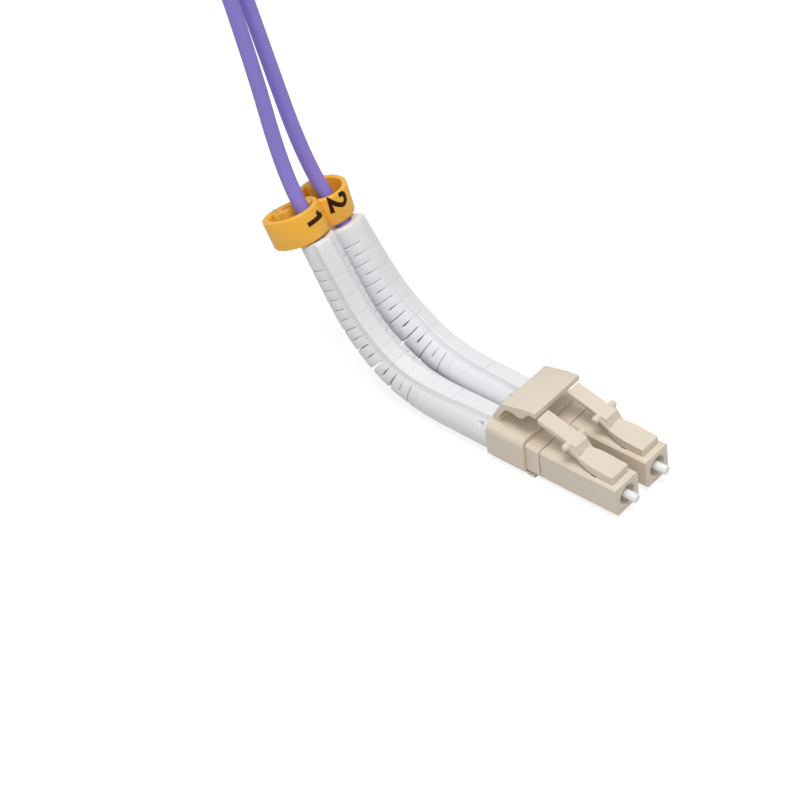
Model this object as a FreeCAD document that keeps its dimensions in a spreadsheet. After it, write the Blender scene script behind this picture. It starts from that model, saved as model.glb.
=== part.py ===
import FreeCAD, Part
import math
import os
import re
import Sketcher
from FreeCAD import Placement, Rotation, Vector

# A short duplex fibre patch cord. Each end is a duplex connector: two plugs held side by side by a
# clip, one trigger over both latches, two bent strain-relief boots and two marker rings.
# +X is the mating direction of the first connector, +Z is up (its latch side). The origin lies on the
# flat underside of that connector's clip, midway between its plugs. Millimetres and degrees.

os.makedirs("parts", exist_ok=True)
doc = FreeCAD.newDocument("DuplexPatchCord")
sheet = doc.addObject("Spreadsheet::Sheet", "Sizes")

SIZES = [
    # the pair of plugs
    ("channelPitch", 6.25, "between the axes of the two plugs"),
    ("axisHeight", 2.9, "plug axis above the clip's underside"),
    ("plugReach", 17.3, "plug's front face ahead of the origin"),
    ("runningClearance", 0.05, "around a pivot bead or a guided rod"),
    ("fitClearance", 0.05, "around a piece seated in a pocket"),
    # plug housing
    ("plugWidth", 4.5, "square section of the plug"),
    ("plugLength", 12.3, "plug's front face to its rear seam"),
    ("plugChamfer", 0.25, "long edges of the square section"),
    ("frontBore", 2.9, "diameter of the mouth round the ferrule"),
    ("frontBoreDepth", 2.8, "depth of that mouth"),
    ("stopWall", 0.6, "wall that the ferrule's flange rests on"),
    ("springChamber", 3.2, "diameter of the chamber behind the stop wall"),
    # ferrule, flange, spring and buffered fibre
    ("ferruleDiameter", 1.25, "ceramic ferrule"),
    ("ferruleLength", 6.5, "ceramic ferrule"),
    ("ferruleProjection", 1.6, "ferrule's tip ahead of the plug's front face"),
    ("ferruleTipChamfer", 0.15, "at the ferrule's tip"),
    ("flangeCollar", 2.9, "diameter of the flange's collar"),
    ("flangeCollarLength", 1.2, "along the axis"),
    ("flangeStem", 1.9, "diameter of the flange's stem"),
    ("flangeLength", 3.8, "collar and stem together"),
    ("flangeWeb", 0.3, "wall between the ferrule's seat and the fibre's bore"),
    ("ferruleTravel", 0.8, "how far the ferrule can be pushed back"),
    ("springOuter", 2.7, "outside diameter of the coil"),
    ("springWire", 0.3, "diameter of the spring wire"),
    ("springCoils", 6.0, "turns between the coil's ends"),
    ("bufferDiameter", 0.9, "buffered fibre"),
    # rear body and crimp sleeve
    ("seamGap", 0.1, "between the plug housing and the rear body"),
    ("rearBlockLength", 4.2, "square block behind the seam"),
    ("spigotLength", 2.1, "spigot in the plug housing"),
    ("rearNeck", 3.6, "diameter behind the block"),
    ("rearNeckLength", 0.9, "along the axis"),
    ("barrel", 2.4, "diameter of the crimp barrel"),
    ("barrelLength", 3.3, "along the axis"),
    ("rearBore", 1.6, "bore for the buffered fibre"),
    ("sleeveOuter", 3.2, "crimp sleeve over the barrel"),
    ("sleeveGrip", 2.7, "outside diameter over the cord's jacket"),
    ("sleeveGripBore", 2.2, "bore over the cord's jacket"),
    ("sleeveGripLength", 2.6, "along the cord"),
    ("sleeveShoulder", 0.3, "cone between the sleeve and its grip"),
    # duplex clip
    ("clipFront", 14.7, "clip's front face behind the plug's front face"),
    ("clipLength", 6.0, "along the axis"),
    ("clipWidth", 12.0, "over both plugs"),
    ("clipRise", 3.1, "clip's top above the plug axis"),
    ("clipTopRadius", 1.1, "long top edges"),
    ("clipPocketDepth", 2.0, "square pockets for the rear blocks"),
    ("clipEdge", 0.25, "front edges"),
    ("clipSideFoot", 1.25, "side walls end this far above the underside"),
    ("clipBelly", 8.8, "width of the flat underside"),
    ("clipPocketSkin", 0.2, "wall left round the lower corner of a pocket"),
    ("tongueLength", 1.3, "tongue under each rear body"),
    ("tongueWidth", 4.4, "tongue under each rear body"),
    ("tongueThickness", 0.45, "tongue under each rear body"),
    ("footNotchStart", 3.95, "notch in the underside, behind the clip's front face"),
    ("footNotchLength", 0.65, "along the axis"),
    ("footNotchDepth", 0.55, "up into the clip"),
    ("footLength", 0.7, "foot behind the notch"),
    # trigger, measured from its pivot
    ("triggerSetback", 19.95, "pivot behind the plug's front face"),
    ("triggerLift", 3.9, "pivot above the plug axis"),
    ("triggerBead", 0.45, "radius of the pivot bead"),
    ("triggerWidth", 9.0, "over both latches"),
    ("triggerReach", 6.75, "lip ahead of the pivot"),
    ("triggerRise", 3.9, "lip's top above the pivot"),
    ("triggerPlate", 0.85, "thickness of the plate"),
    ("triggerRootHalf", 0.405, "half the root's thickness at the pivot"),
    ("triggerRootRise", 1.17, "top of the upright root above the pivot"),
    ("triggerRootLean", 0.15, "top of the upright root ahead of the pivot"),
    ("triggerShoulder", 1.05, "top corner over the root, ahead of the pivot"),
    ("triggerShoulderDrop", 1.25, "that corner below the lip's top"),
    ("triggerShoulderRound", 0.765, "round of that corner"),
    ("triggerCrest", 1.6, "break of the plate's top, behind the lip"),
    ("triggerCrestDrop", 0.2, "that break below the lip's top"),
    ("triggerThroat", 1.55, "underside's corner ahead of the pivot"),
    ("triggerThroatDrop", 1.15, "that corner below the lip's foot"),
    ("triggerBulge", 1.1, "depth of the wave on the plate's underside"),
    ("waveLand", 1.25, "wave starts behind the lip"),
    ("waveFront", 2.2, "wave's front behind the lip"),
    ("waveCrest", 3.0, "wave's lowest point behind the lip"),
    ("waveRear", 4.2, "wave's rear behind the lip"),
    ("waveDip", 0.25, "lowest point under the wave's front"),
    ("waveEase", 0.15, "wave's rear above its front"),
    ("saddleLength", 1.1, "ridge on the clip that carries the pivot"),
    # latch, measured from its pivot
    ("latchSetback", 4.0, "pivot behind the plug's front face"),
    ("latchBead", 0.35, "radius of the pivot bead"),
    ("latchNose", 3.05, "front of the latch ahead of the pivot"),
    ("latchNoseHeight", 1.2, "height of the front block"),
    ("latchWidth", 3.3, "width of the front block"),
    ("latchStep", 2.85, "step behind the pivot"),
    ("latchStepTop", 2.95, "top of the step above the pivot"),
    ("latchStepSlope", 0.15, "the step's front leans back"),
    ("latchArmRise", 0.35, "top of the arm at the step, above the front block's"),
    ("latchTaperStart", 1.28, "sides start to narrow behind the pivot"),
    ("latchWaistMargin", 0.1, "waist stays this far outside the tail, on each side"),
    ("latchJoin", 0.5, "tail's root inside the arm"),
    ("latchCrotch", 0.6, "underside's corner behind the step"),
    ("latchTailRound", 0.63, "round under the tail's end"),
    ("latchArm", 0.85, "thickness of the arm"),
    ("latchTailWidth", 2.3, "width behind the step"),
    ("latchTailReach", 9.2, "end of the tail behind the pivot"),
    ("latchTailTop", 4.55, "top of the tail's end above the pivot"),
    ("earSetback", 4.3, "ears behind the pivot"),
    ("earLift", 2.8, "ears above the pivot"),
    ("earDiameter", 1.0, "each ear"),
    ("earSpan", 4.4, "over both ears"),
    ("earMargin", 0.1, "tail's underside breaks this far behind the ears"),
    # boots
    ("bootFront", 5.7, "diameter at the clip"),
    ("bootRear", 4.9, "diameter at the cord's end"),
    ("bootCollar", 4.6, "diameter of the collar inside the clip"),
    ("bootLength", 38.0, "along the bend, from the cord's start"),
    ("bootSleeveBore", 3.4, "bore round the crimp sleeve"),
    ("bootGripBore", 2.9, "bore round the sleeve's grip"),
    ("bootCordBore", 2.5, "bore round the cord"),
    ("spineWidth", 2.4, "flat-topped spine along the boot"),
    ("spineProud", 0.5, "spine above the boot's round section"),
    ("spineNotchStart", 6.5, "notch across the spine, from the cord's start"),
    ("spineNotchLength", 0.5, "along the boot"),
    ("dimpleStart", 1.3, "round dimple beside the spine, from the cord's start"),
    ("dimpleDiameter", 0.8, "dimple beside the spine"),
    ("dimpleDepth", 0.5, "dimple beside the spine"),
    ("slitCount", 16, "cuts across the boot, by turns from above and from below"),
    ("slitStart", 12.1, "first cut, from the cord's start"),
    ("slitPitch", 1.5, "along the boot"),
    ("slitWidth", 0.4, "along the boot"),
    ("neckLength", 9.0, "straight front part of the boot, from the cord's start"),
    ("neckOverlap", 0.6, "how far the next part of the boot reaches into the neck"),
    ("upperWebFloor", 2.1, "web left by a cut from below starts this far above the axis"),
    ("lowerWebTop", 0.5, "web left by a cut from above ends this far above the axis"),
    ("webInset", 0.05, "webs lie this far under the ribs' surface"),
    ("wireDiameter", 0.9, "steel wire that keeps the boot's bend"),
    ("wireLift", 1.55, "wire above the cord's axis"),
    ("wireStart", 4.0, "from the cord's start"),
    ("wireEndMargin", 1.2, "wire ends this far inside the boot"),
    # cord and marker rings
    ("cordDiameter", 2.0, "round jacket"),
    ("ringOuter", 6.9, "marker ring"),
    ("ringWall", 0.65, "marker ring"),
    ("ringLength", 4.4, "along the cord"),
    ("ringHookRadius", 0.95, "hook at the ring's opening, mid wall"),
    ("ringHookTurn", 200.0, "how far the hook turns"),
    ("ringGapAngle", 32.0, "opening of the ring"),
    ("ringOneStart", 0.4, "first ring's edge behind the boot's end"),
    ("ringTwoStart", 1.3, "second ring's edge behind the boot's end"),
    ("ringSpacing", 7.0, "between the axes of the two rings"),
    ("ringHang", 1.5, "ring's axis under the cord's"),
]
for row, (word, number, note) in enumerate(SIZES, start=1):
    sheet.set("A%d" % row, word)
    sheet.set("B%d" % row, "%g" % number)
    sheet.set("C%d" % row, note)
    sheet.setAlias("B%d" % row, word)
doc.recompute()
ALIASES = {word for word, number, note in SIZES}

# A plug's round parts end this far behind its front face, where the cord's jacket starts.
CORD_SETBACK = "(plugLength + seamGap + rearBlockLength + rearNeckLength + barrelLength)"

# The route of a cord, from its start behind the crimp barrel of the first end to that of the other
# end. It runs up through the boot, arches over and comes down into the second boot. "back" is
# against the mating direction, "inward" is towards the other cord and "up" is above the plug axis.
CORD_ROUTE = [
    # back, inward, up
    (0.0, 0.0, 0.0),
    (5.0, 0.0, 0.0),
    (11.0, 0.0, 0.3),
    (15.8, 0.0, 1.7),
    (19.9, 0.0, 4.6),
    (23.3, 0.0, 8.2),
    (25.9, 0.0, 12.5),
    (29.9, 0.0, 19.4),
    (34.1, 0.9, 27.1),
    (38.7, 1.6, 43.4),
    (44.2, 1.975, 64.7),
    (56.3, 1.975, 79.3),
    (73.5, 1.975, 87.4),
    (92.5, 1.975, 87.4),
    (109.7, 1.975, 79.3),
    (121.8, 1.975, 64.7),
    (127.3, 1.6, 43.4),
    (131.9, 0.9, 27.1),
    (136.1, 0.0, 19.4),
    (140.1, 0.0, 12.5),
    (142.7, 0.0, 8.2),
    (146.1, 0.0, 4.6),
    (150.2, 0.0, 1.7),
    (155.0, 0.0, 0.3),
    (161.0, 0.0, 0.0),
    (166.0, 0.0, 0.0),
]
ROUTE_SHARE = 0.45  # of the shorter run, taken by an arc on each side of its point
END_SPAN = "(%g + 2 * (%s - plugReach))" % (CORD_ROUTE[-1][0], CORD_SETBACK)


def formula(text):
    """An expression in the sheet's words, as FreeCAD wants it."""
    return re.sub(r"[A-Za-z]\w*", lambda m: ("Sizes." if m.group() in ALIASES else "") + m.group(), text)


def size(text):
    """The number that an expression in the sheet's words has now."""
    return float(sheet.evalExpression(formula(text)))


def bind(thing, **sizes):
    for name, text in sizes.items():
        thing.setExpression(name, formula(text))
    return thing


def bindBase(thing, x, y, z):
    for axis, text in (("x", x), ("y", y), ("z", z)):
        thing.setExpression("Placement.Base." + axis, formula(text))
    return thing


class Channel:
    """One plug of one end: where its pieces go and what their names start with."""

    def __init__(self, end, number):
        self.end = end
        self.number = number
        self.prefix = "far_" if end == "far" else ""
        self.side = "-channelPitch / 2" if number == 1 else "channelPitch / 2"

    def label(self, word):
        return "%s%s_%d" % (self.prefix, word, self.number)


def seat(thing, end, setback, y, lift):
    """Places a piece: setback is behind the plug's front face, lift is above the plug axis."""
    if end == "far":
        thing.Placement = Placement(Vector(), Rotation(Vector(0, 0, 1), 180))
        return bindBase(thing, "%s - %s - plugReach" % (setback, END_SPAN), y, "axisHeight + " + lift)
    return bindBase(thing, "plugReach - (%s)" % setback, y, "axisHeight + " + lift)


def newBody(label):
    body = doc.addObject("PartDesign::Body", label)
    body.Label = label
    return body


def newSketch(body, name, plane):
    sketch = body.newObject("Sketcher::SketchObject", name)
    origin = [item for item in body.Origin.OriginFeatures if item.Role == plane][0]
    sketch.AttachmentSupport = [(origin, "")]
    sketch.MapMode = "FlatFace"
    return sketch


def outline(body, name, plane, corners):
    """A closed sketch of straight lines. Each corner is a pair of expressions."""
    sketch = newSketch(body, name, plane)
    spots = [Vector(size(across), size(up), 0) for across, up in corners]
    count = len(spots)
    lines = [Part.LineSegment(spots[i], spots[(i + 1) % count]) for i in range(count)]
    sketch.addGeometry(lines, False)
    for i, (across, up) in enumerate(corners):
        sketch.addConstraint(Sketcher.Constraint("Coincident", i, 2, (i + 1) % count, 1))
        for kind, text in (("DistanceX", across), ("DistanceY", up)):
            index = sketch.addConstraint(Sketcher.Constraint(kind, -1, 1, i, 1, size(text)))
            sketch.setExpression("Constraints[%d]" % index, formula(text))
    return sketch


def disc(body, name, plane, across, up, diameter):
    """A sketch of one circle."""
    sketch = newSketch(body, name, plane)
    centre = Vector(size(across), size(up), 0)
    sketch.addGeometry(Part.Circle(centre, Vector(0, 0, 1), size(diameter) / 2), False)
    for kind, text in (("DistanceX", across), ("DistanceY", up)):
        index = sketch.addConstraint(Sketcher.Constraint(kind, -1, 1, 0, 3, size(text)))
        sketch.setExpression("Constraints[%d]" % index, formula(text))
    index = sketch.addConstraint(Sketcher.Constraint("Diameter", 0, size(diameter)))
    sketch.setExpression("Constraints[%d]" % index, formula(diameter))
    return sketch


def extrude(kind, body, sketch, length, way="middle"):
    """A Pad or a Pocket of a sketch. A Pad goes ahead of its plane, back from it, or both ways from
    the middle; a Pocket that goes ahead cuts against its plane's normal."""
    feature = body.newObject("PartDesign::" + kind, sketch.Name + kind)
    feature.Profile = sketch
    feature.Midplane = way == "middle"
    feature.Reversed = way == "back"
    sketch.Visibility = False
    return bind(feature, Length=length)


def turn(kind, body, corners, name):
    """A Revolution or a Groove about the body's X axis."""
    sketch = outline(body, name, "XZ_Plane", corners)
    feature = body.newObject("PartDesign::" + kind, name + kind)
    feature.Profile = sketch
    feature.ReferenceAxis = (sketch, ["H_Axis"])
    feature.Angle = 360
    return feature


def squareCorners(width, chamfer):
    """An upright square with chamfered corners, about the origin."""
    half = "(%s) / 2" % width
    less = "((%s) / 2 - %s)" % (width, chamfer)
    signs = [(1, 1, 0), (1, 1, 1), (-1, 1, 1), (-1, 1, 0), (-1, -1, 0), (-1, -1, 1), (1, -1, 1), (1, -1, 0)]
    corners = []
    for sideways, upward, upright in signs:
        wide, tall = (less, half) if upright else (half, less)
        corners.append(("%d * %s" % (sideways, wide), "%d * %s" % (upward, tall)))
    return corners


def rectangle(x0, x1, z0, z1):
    return [(x0, z0), (x1, z0), (x1, z1), (x0, z1)]


def edgesAlong(body, direction, spots, reach=0.02):
    """Names of the straight edges along a direction that pass through the given spots."""
    doc.recompute()
    names = []
    for number, edge in enumerate(body.Tip.Shape.Edges, start=1):
        if len(edge.Vertexes) != 2:
            continue
        ends = [vertex.Point for vertex in edge.Vertexes]
        along = ends[1] - ends[0]
        if along.Length < reach or along.normalize().cross(direction).Length > reach:
            continue
        for spot in spots:
            away = spot - ends[0]
            if (away - along * away.dot(along)).Length < reach:
                names.append("Edge%d" % number)
    if not names:
        raise RuntimeError("no edges to round on " + body.Label)
    return names


def roundEdges(body, direction, spots, radius):
    names = edgesAlong(body, direction, spots)
    carrier = body.Tip
    feature = body.newObject("PartDesign::Fillet", body.Name + "Round")
    feature.Base = (carrier, names)
    return bind(feature, Radius=radius)


ACROSS = Vector(0, 1, 0)
ALONG = Vector(1, 0, 0)


def plugHousing(channel):
    """Front housing of one plug: square outside, stepped bore, groove for the latch's pivot bead."""
    body = newBody(channel.label("plug_housing"))
    section = outline(body, "Section", "YZ_Plane", squareCorners("plugWidth", "plugChamfer"))
    extrude("Pad", body, section, "plugLength", "back")
    stopRear = "-(frontBoreDepth + stopWall)"
    hole = "(ferruleDiameter / 2 + runningClearance)"
    turn("Groove", body, [
        ("0", "0"), ("0", "frontBore / 2"), ("-frontBoreDepth", "frontBore / 2"),
        ("-frontBoreDepth", hole), (stopRear, hole), (stopRear, "springChamber / 2"),
        ("-plugLength", "springChamber / 2"), ("-plugLength", "0"),
    ], "Bore")
    groove = disc(body, "PivotGroove", "XZ_Plane", "-latchSetback", "plugWidth / 2",
                  "2 * (latchBead + runningClearance)")
    extrude("Pocket", body, groove, "latchWidth + 2 * runningClearance")
    return seat(body, channel.end, "0", channel.side, "0")


def latch(channel):
    """Latch lever, drawn from its pivot: front block, low arm, step, ears and rising tail."""
    body = newBody(channel.label("latch"))
    armTop = "(latchNoseHeight + latchArmRise)"
    nose = outline(body, "Nose", "XZ_Plane", [
        ("0", "0"), ("latchNose", "0"), ("latchNose", "latchNoseHeight"),
        ("-latchStep", armTop), ("-latchStep", armTop + " - latchArm"),
        ("-latchBead", "2 * runningClearance"),
    ])
    extrude("Pad", body, nose, "latchWidth")
    waist = "(latchTailWidth / 2 + latchWaistMargin)"
    behind = "-(latchStep + latchJoin)"
    for name, sign in (("LeftWaist", "-"), ("RightWaist", "")):
        cut = outline(body, name, "XY_Plane", [
            ("-latchTaperStart", sign + "latchWidth / 2"), ("-latchStep", sign + waist),
            (behind, sign + waist), (behind, sign + "latchWidth / 2"),
        ])
        extrude("Pocket", body, cut, "4 * latchNoseHeight")
    rise = "(latchTailTop - latchStepTop) / (latchTailReach - latchStep - latchStepSlope)"
    tail = outline(body, "Tail", "XZ_Plane", [
        ("latchJoin - latchStep", armTop + " - latchArm"),
        ("latchJoin - latchStep", armTop + " - earMargin"),
        ("-latchStep", armTop), ("-latchStep - latchStepSlope", "latchStepTop"),
        ("-latchTailReach", "latchTailTop"), ("-latchTailReach", "latchTailTop - latchArm"),
        ("-earSetback - earMargin", "latchStepTop + %s * (earSetback - latchStep) - latchArm" % rise),
        ("-latchStep - latchCrotch", armTop),
    ])
    extrude("Pad", body, tail, "latchTailWidth")
    ears = disc(body, "Ears", "XZ_Plane", "-earSetback", "earLift", "earDiameter")
    extrude("Pad", body, ears, "earSpan")
    bead = disc(body, "Bead", "XZ_Plane", "0", "0", "2 * latchBead")
    extrude("Pad", body, bead, "latchWidth")
    doc.recompute()
    tailEnd = Vector(-size("latchTailReach"), 0, size("latchTailTop - latchArm"))
    roundEdges(body, ACROSS, [tailEnd], "latchTailRound")
    return seat(body, channel.end, "latchSetback", channel.side, "plugWidth / 2")


def rearBody(channel):
    """Rear body: square block behind the seam, spigot ahead of it, crimp barrel behind it."""
    body = newBody(channel.label("rear_body"))
    section = outline(body, "Block", "YZ_Plane", squareCorners("plugWidth", "plugChamfer"))
    extrude("Pad", body, section, "rearBlockLength", "back")
    neckEnd = "-(rearBlockLength + rearNeckLength)"
    barrelEnd = "-(rearBlockLength + rearNeckLength + barrelLength)"
    turn("Revolution", body, [
        ("spigotLength", "0"), ("spigotLength", "springChamber / 2"), ("-seamGap", "springChamber / 2"),
        ("-rearBlockLength", "rearNeck / 2"), (neckEnd, "rearNeck / 2"), (neckEnd, "barrel / 2"),
        (barrelEnd, "barrel / 2"), (barrelEnd, "0"),
    ], "Round")
    turn("Groove", body, [
        ("spigotLength", "0"), ("spigotLength", "rearBore / 2"), (barrelEnd, "rearBore / 2"),
        (barrelEnd, "0"),
    ], "Bore")
    return seat(body, channel.end, "plugLength + seamGap", channel.side, "0")


def ferrule(channel):
    body = newBody(channel.label("ferrule"))
    turn("Revolution", body, [
        ("0", "0"), ("0", "ferruleDiameter / 2 - ferruleTipChamfer"),
        ("-ferruleTipChamfer", "ferruleDiameter / 2"), ("-ferruleLength", "ferruleDiameter / 2"),
        ("-ferruleLength", "0"),
    ], "Rod")
    return seat(body, channel.end, "-ferruleProjection", channel.side, "0")


def ferruleFlange(channel):
    """Flange that holds the ferrule; its rear bore takes the fibre and leaves room for the travel."""
    body = newBody(channel.label("ferrule_flange"))
    ferruleEnd = "-(ferruleLength - ferruleProjection - frontBoreDepth - stopWall)"
    webEnd = ferruleEnd + " - flangeWeb"
    fibreBore = "(bufferDiameter / 2 + 2 * runningClearance)"
    turn("Revolution", body, [
        ("0", "ferruleDiameter / 2"), ("0", "flangeCollar / 2"),
        ("-flangeCollarLength", "flangeCollar / 2"),
        ("-flangeCollarLength", "flangeStem / 2"), ("-flangeLength", "flangeStem / 2"),
        ("-flangeLength", fibreBore), (webEnd, fibreBore), (webEnd, "0"), (ferruleEnd, "0"),
        (ferruleEnd, "ferruleDiameter / 2"),
    ], "Flange")
    return seat(body, channel.end, "frontBoreDepth + stopWall", channel.side, "0")


def ferruleSpring(channel):
    """Coil between the flange's collar and the rear body's spigot."""
    front = "frontBoreDepth + stopWall + flangeCollarLength"
    height = "plugLength + seamGap - spigotLength - (%s) - springWire" % front
    coil = doc.addObject("Part::Helix", channel.label("SpringLine"))
    bind(coil, Radius="(springOuter - springWire) / 2", Height=height, Pitch="(%s) / springCoils" % height)
    wire = doc.addObject("Part::Circle", channel.label("SpringSection"))
    wire.Placement = Placement(Vector(), Rotation(Vector(1, 0, 0), 90))
    bind(wire, Radius="springWire / 2")
    wire.setExpression("Placement.Base.x", formula("(springOuter - springWire) / 2"))
    spring = doc.addObject("Part::Sweep", channel.label("ferrule_spring"))
    spring.Sections = [wire]
    spring.Spine = (coil, ["Edge1"])
    spring.Solid = True
    spring.Frenet = True
    spring.Label = channel.label("ferrule_spring")
    seat(spring, channel.end, "plugLength + seamGap - spigotLength - springWire / 2", channel.side, "0")
    spring.Placement.Rotation = spring.Placement.Rotation * Rotation(Vector(0, 1, 0), 90)
    return spring


def fibreBuffer(channel):
    """Buffered fibre from the flange to the cord's end."""
    front = "ferruleLength - ferruleProjection + flangeWeb + ferruleTravel + 2 * runningClearance"
    rod = doc.addObject("Part::Cylinder", channel.label("fibre_buffer"))
    rod.Label = channel.label("fibre_buffer")
    bind(rod, Radius="bufferDiameter / 2", Height="%s - (%s)" % (CORD_SETBACK, front))
    seat(rod, channel.end, CORD_SETBACK, channel.side, "0")
    rod.Placement.Rotation = rod.Placement.Rotation * Rotation(Vector(0, 1, 0), 90)
    return rod


def crimpSleeve(channel):
    """Sleeve over the crimp barrel, with a smaller grip over the cord's jacket."""
    body = newBody(channel.label("crimp_sleeve"))
    barrelBore = "(barrel / 2 + fitClearance)"
    grip = "-(barrelLength + sleeveGripLength)"
    turn("Revolution", body, [
        ("0", barrelBore), ("0", "sleeveOuter / 2"), ("-barrelLength", "sleeveOuter / 2"),
        ("-barrelLength - sleeveShoulder", "sleeveGrip / 2"), (grip, "sleeveGrip / 2"),
        (grip, "sleeveGripBore / 2"), ("-barrelLength", "sleeveGripBore / 2"),
        ("-barrelLength", barrelBore),
    ], "Sleeve")
    return seat(body, channel.end, "plugLength + seamGap + rearBlockLength + rearNeckLength",
                channel.side, "0")


def duplexClip(end):
    """Clip that holds both rear bodies and both boots, drawn from its front face."""
    body = newBody(("far_" if end == "far" else "") + "duplex_clip")
    pocketCorner = "(channelPitch / 2 + plugWidth / 2 + fitClearance)"
    pocketFloor = "-(plugWidth / 2 + fitClearance)"
    keel = [
        ("clipWidth / 2", "clipRise"), ("clipWidth / 2", "clipSideFoot - axisHeight"),
        (pocketCorner + " + clipPocketSkin", pocketFloor),
        (pocketCorner, pocketFloor + " - clipPocketSkin"), ("clipBelly / 2", "-axisHeight"),
    ]
    section = outline(body, "Section", "YZ_Plane",
                      keel + [("-(%s)" % across, up) for across, up in keel[::-1]])
    extrude("Pad", body, section, "clipLength", "back")
    halfWide, top = size("clipWidth / 2"), size("clipRise")
    roundEdges(body, ALONG, [Vector(0, -halfWide, top), Vector(0, halfWide, top)], "clipTopRadius")
    roundEdges(body, ACROSS, [Vector(0, 0, top)], "clipEdge")
    saddleMiddle = "-(triggerSetback - clipFront)"
    saddle = outline(body, "Saddle", "XZ_Plane", rectangle(
        saddleMiddle + " - saddleLength / 2", saddleMiddle + " + saddleLength / 2",
        "clipRise - clipEdge", "triggerLift"))
    extrude("Pad", body, saddle, "triggerWidth")
    groove = disc(body, "PivotGroove", "XZ_Plane", saddleMiddle, "triggerLift",
                  "2 * (triggerBead + runningClearance)")
    extrude("Pocket", body, groove, "triggerWidth + 2 * runningClearance")
    for word, side in (("Left", "-channelPitch / 2"), ("Right", "channelPitch / 2")):
        tongue = outline(body, word + "Tongue", "YZ_Plane", rectangle(
            side + " - tongueWidth / 2", side + " + tongueWidth / 2", "-axisHeight",
            "-axisHeight + tongueThickness"))
        extrude("Pad", body, tongue, "tongueLength", "ahead")
        half = "(plugWidth / 2 + fitClearance)"
        pocket = outline(body, word + "Pocket", "YZ_Plane", rectangle(
            "%s - %s" % (side, half), "%s + %s" % (side, half), "-" + half, half))
        extrude("Pocket", body, pocket, "clipPocketDepth", "ahead")
        hole = disc(body, word + "BootHole", "YZ_Plane", side, "0", "bootCollar + 2 * fitClearance")
        extrude("Pocket", body, hole, "clipLength + fitClearance", "ahead")
    behindFoot = "-(footNotchStart + footNotchLength + footLength)"
    foot = outline(body, "FootNotch", "XZ_Plane", [
        ("-footNotchStart", "-axisHeight"), ("-footNotchStart", "-axisHeight + footNotchDepth"),
        ("-(footNotchStart + footNotchLength)", "-axisHeight + footNotchDepth"),
        ("-(footNotchStart + footNotchLength)", "-axisHeight"),
    ])
    extrude("Pocket", body, foot, "2 * clipWidth")
    heel = outline(body, "Heel", "XZ_Plane", rectangle(
        "-clipLength", behindFoot, "-axisHeight", "-axisHeight + footNotchDepth"))
    extrude("Pocket", body, heel, "2 * clipWidth")
    return seat(body, end, "clipFront", "0", "0")


def clipTrigger(end):
    """Trigger over both latches, drawn from its pivot: rising root, plate and front lip."""
    body = newBody(("far_" if end == "far" else "") + "clip_trigger")
    lipFoot = "triggerRise - triggerPlate"
    plate = outline(body, "Plate", "XZ_Plane", [
        ("-triggerRootHalf", "0"), ("triggerRootLean", "triggerRootRise"),
        ("triggerShoulder", "triggerRise - triggerShoulderDrop"),
        ("triggerReach - triggerCrest", "triggerRise - triggerCrestDrop"),
        ("triggerReach", "triggerRise"), ("triggerReach", lipFoot),
        ("triggerReach - waveLand", lipFoot),
        ("triggerReach - waveFront", lipFoot + " - triggerBulge"),
        ("triggerReach - waveCrest", lipFoot + " - triggerBulge - waveDip"),
        ("triggerReach - waveRear", lipFoot + " - triggerBulge + waveEase"),
        ("triggerThroat", lipFoot + " - triggerThroatDrop"), ("triggerRootHalf", "0"),
    ])
    extrude("Pad", body, plate, "triggerWidth")
    bead = disc(body, "Bead", "XZ_Plane", "0", "0", "2 * triggerBead")
    extrude("Pad", body, bead, "triggerWidth")
    doc.recompute()
    corner = Vector(size("triggerShoulder"), 0, size("triggerRise - triggerShoulderDrop"))
    roundEdges(body, ACROSS, [corner], "triggerShoulderRound")
    return seat(body, end, "triggerSetback", "0", "triggerLift")


def smoothPath(points):
    """Straight runs joined by tangent arcs, as a wire, and the arcs' radii."""
    edges, radii = [], []
    start = points[0]
    for before, here, after in zip(points, points[1:], points[2:]):
        back, ahead = before - here, after - here
        reach = ROUTE_SHARE * min(back.Length, ahead.Length)
        halfTurn = (math.pi - back.getAngle(ahead)) / 2
        radius = reach / math.tan(halfTurn)
        back.normalize()
        ahead.normalize()
        enter, leave = here + back * reach, here + ahead * reach
        inward = (back + ahead).normalize()
        middle = here + inward * radius * (1 / math.cos(halfTurn) - 1)
        edges.append(Part.LineSegment(start, enter).toShape())
        edges.append(Part.Arc(enter, middle, leave).toShape())
        radii.append(radius)
        start = leave
    edges.append(Part.LineSegment(start, points[-1]).toShape())
    return Part.Wire(edges), radii


def tube(path, radius):
    """A round tube along a wire."""
    first = path.Edges[0]
    direction = first.tangentAt(first.FirstParameter)
    ring = Part.Wire(Part.Circle(first.valueAt(first.FirstParameter), direction, radius).toShape())
    return path.makePipeShell([ring], True, False)


def walk(path, distance):
    """The point and the direction at a distance along a wire."""
    for edge in path.Edges:
        if distance <= edge.Length:
            parameter = edge.getParameterByLength(distance)
            return edge.valueAt(parameter), edge.tangentAt(parameter)
        distance -= edge.Length
    last = path.Edges[-1]
    direction = last.tangentAt(last.LastParameter)
    return last.valueAt(last.LastParameter) + direction * distance, direction


# The bent boot lies along the cord's route. It is drawn from the cord's start in the boot's own upright
# plane: a slice's X runs along the boot, away from the clip, and its Z is on the spine's side.
BOOT_PATH = smoothPath([Vector(-back, 0, up) for back, inward, up in CORD_ROUTE[:11]])[0]
FAR_AWAY = 100.0  # longer than any piece that a cut has to cross
SHORTEST = 0.01  # a shorter stretch of a line is left out


def frameAt(distance):
    """Placement of a slice at a distance along the boot's line."""
    spot, direction = walk(BOOT_PATH, distance)
    return Placement(spot, leaning(direction))


def leaning(direction):
    pitch = math.degrees(math.atan2(direction.z, -direction.x))
    return Rotation(Vector(0, 1, 0), pitch) * Rotation(Vector(0, 0, 1), 180)


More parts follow.
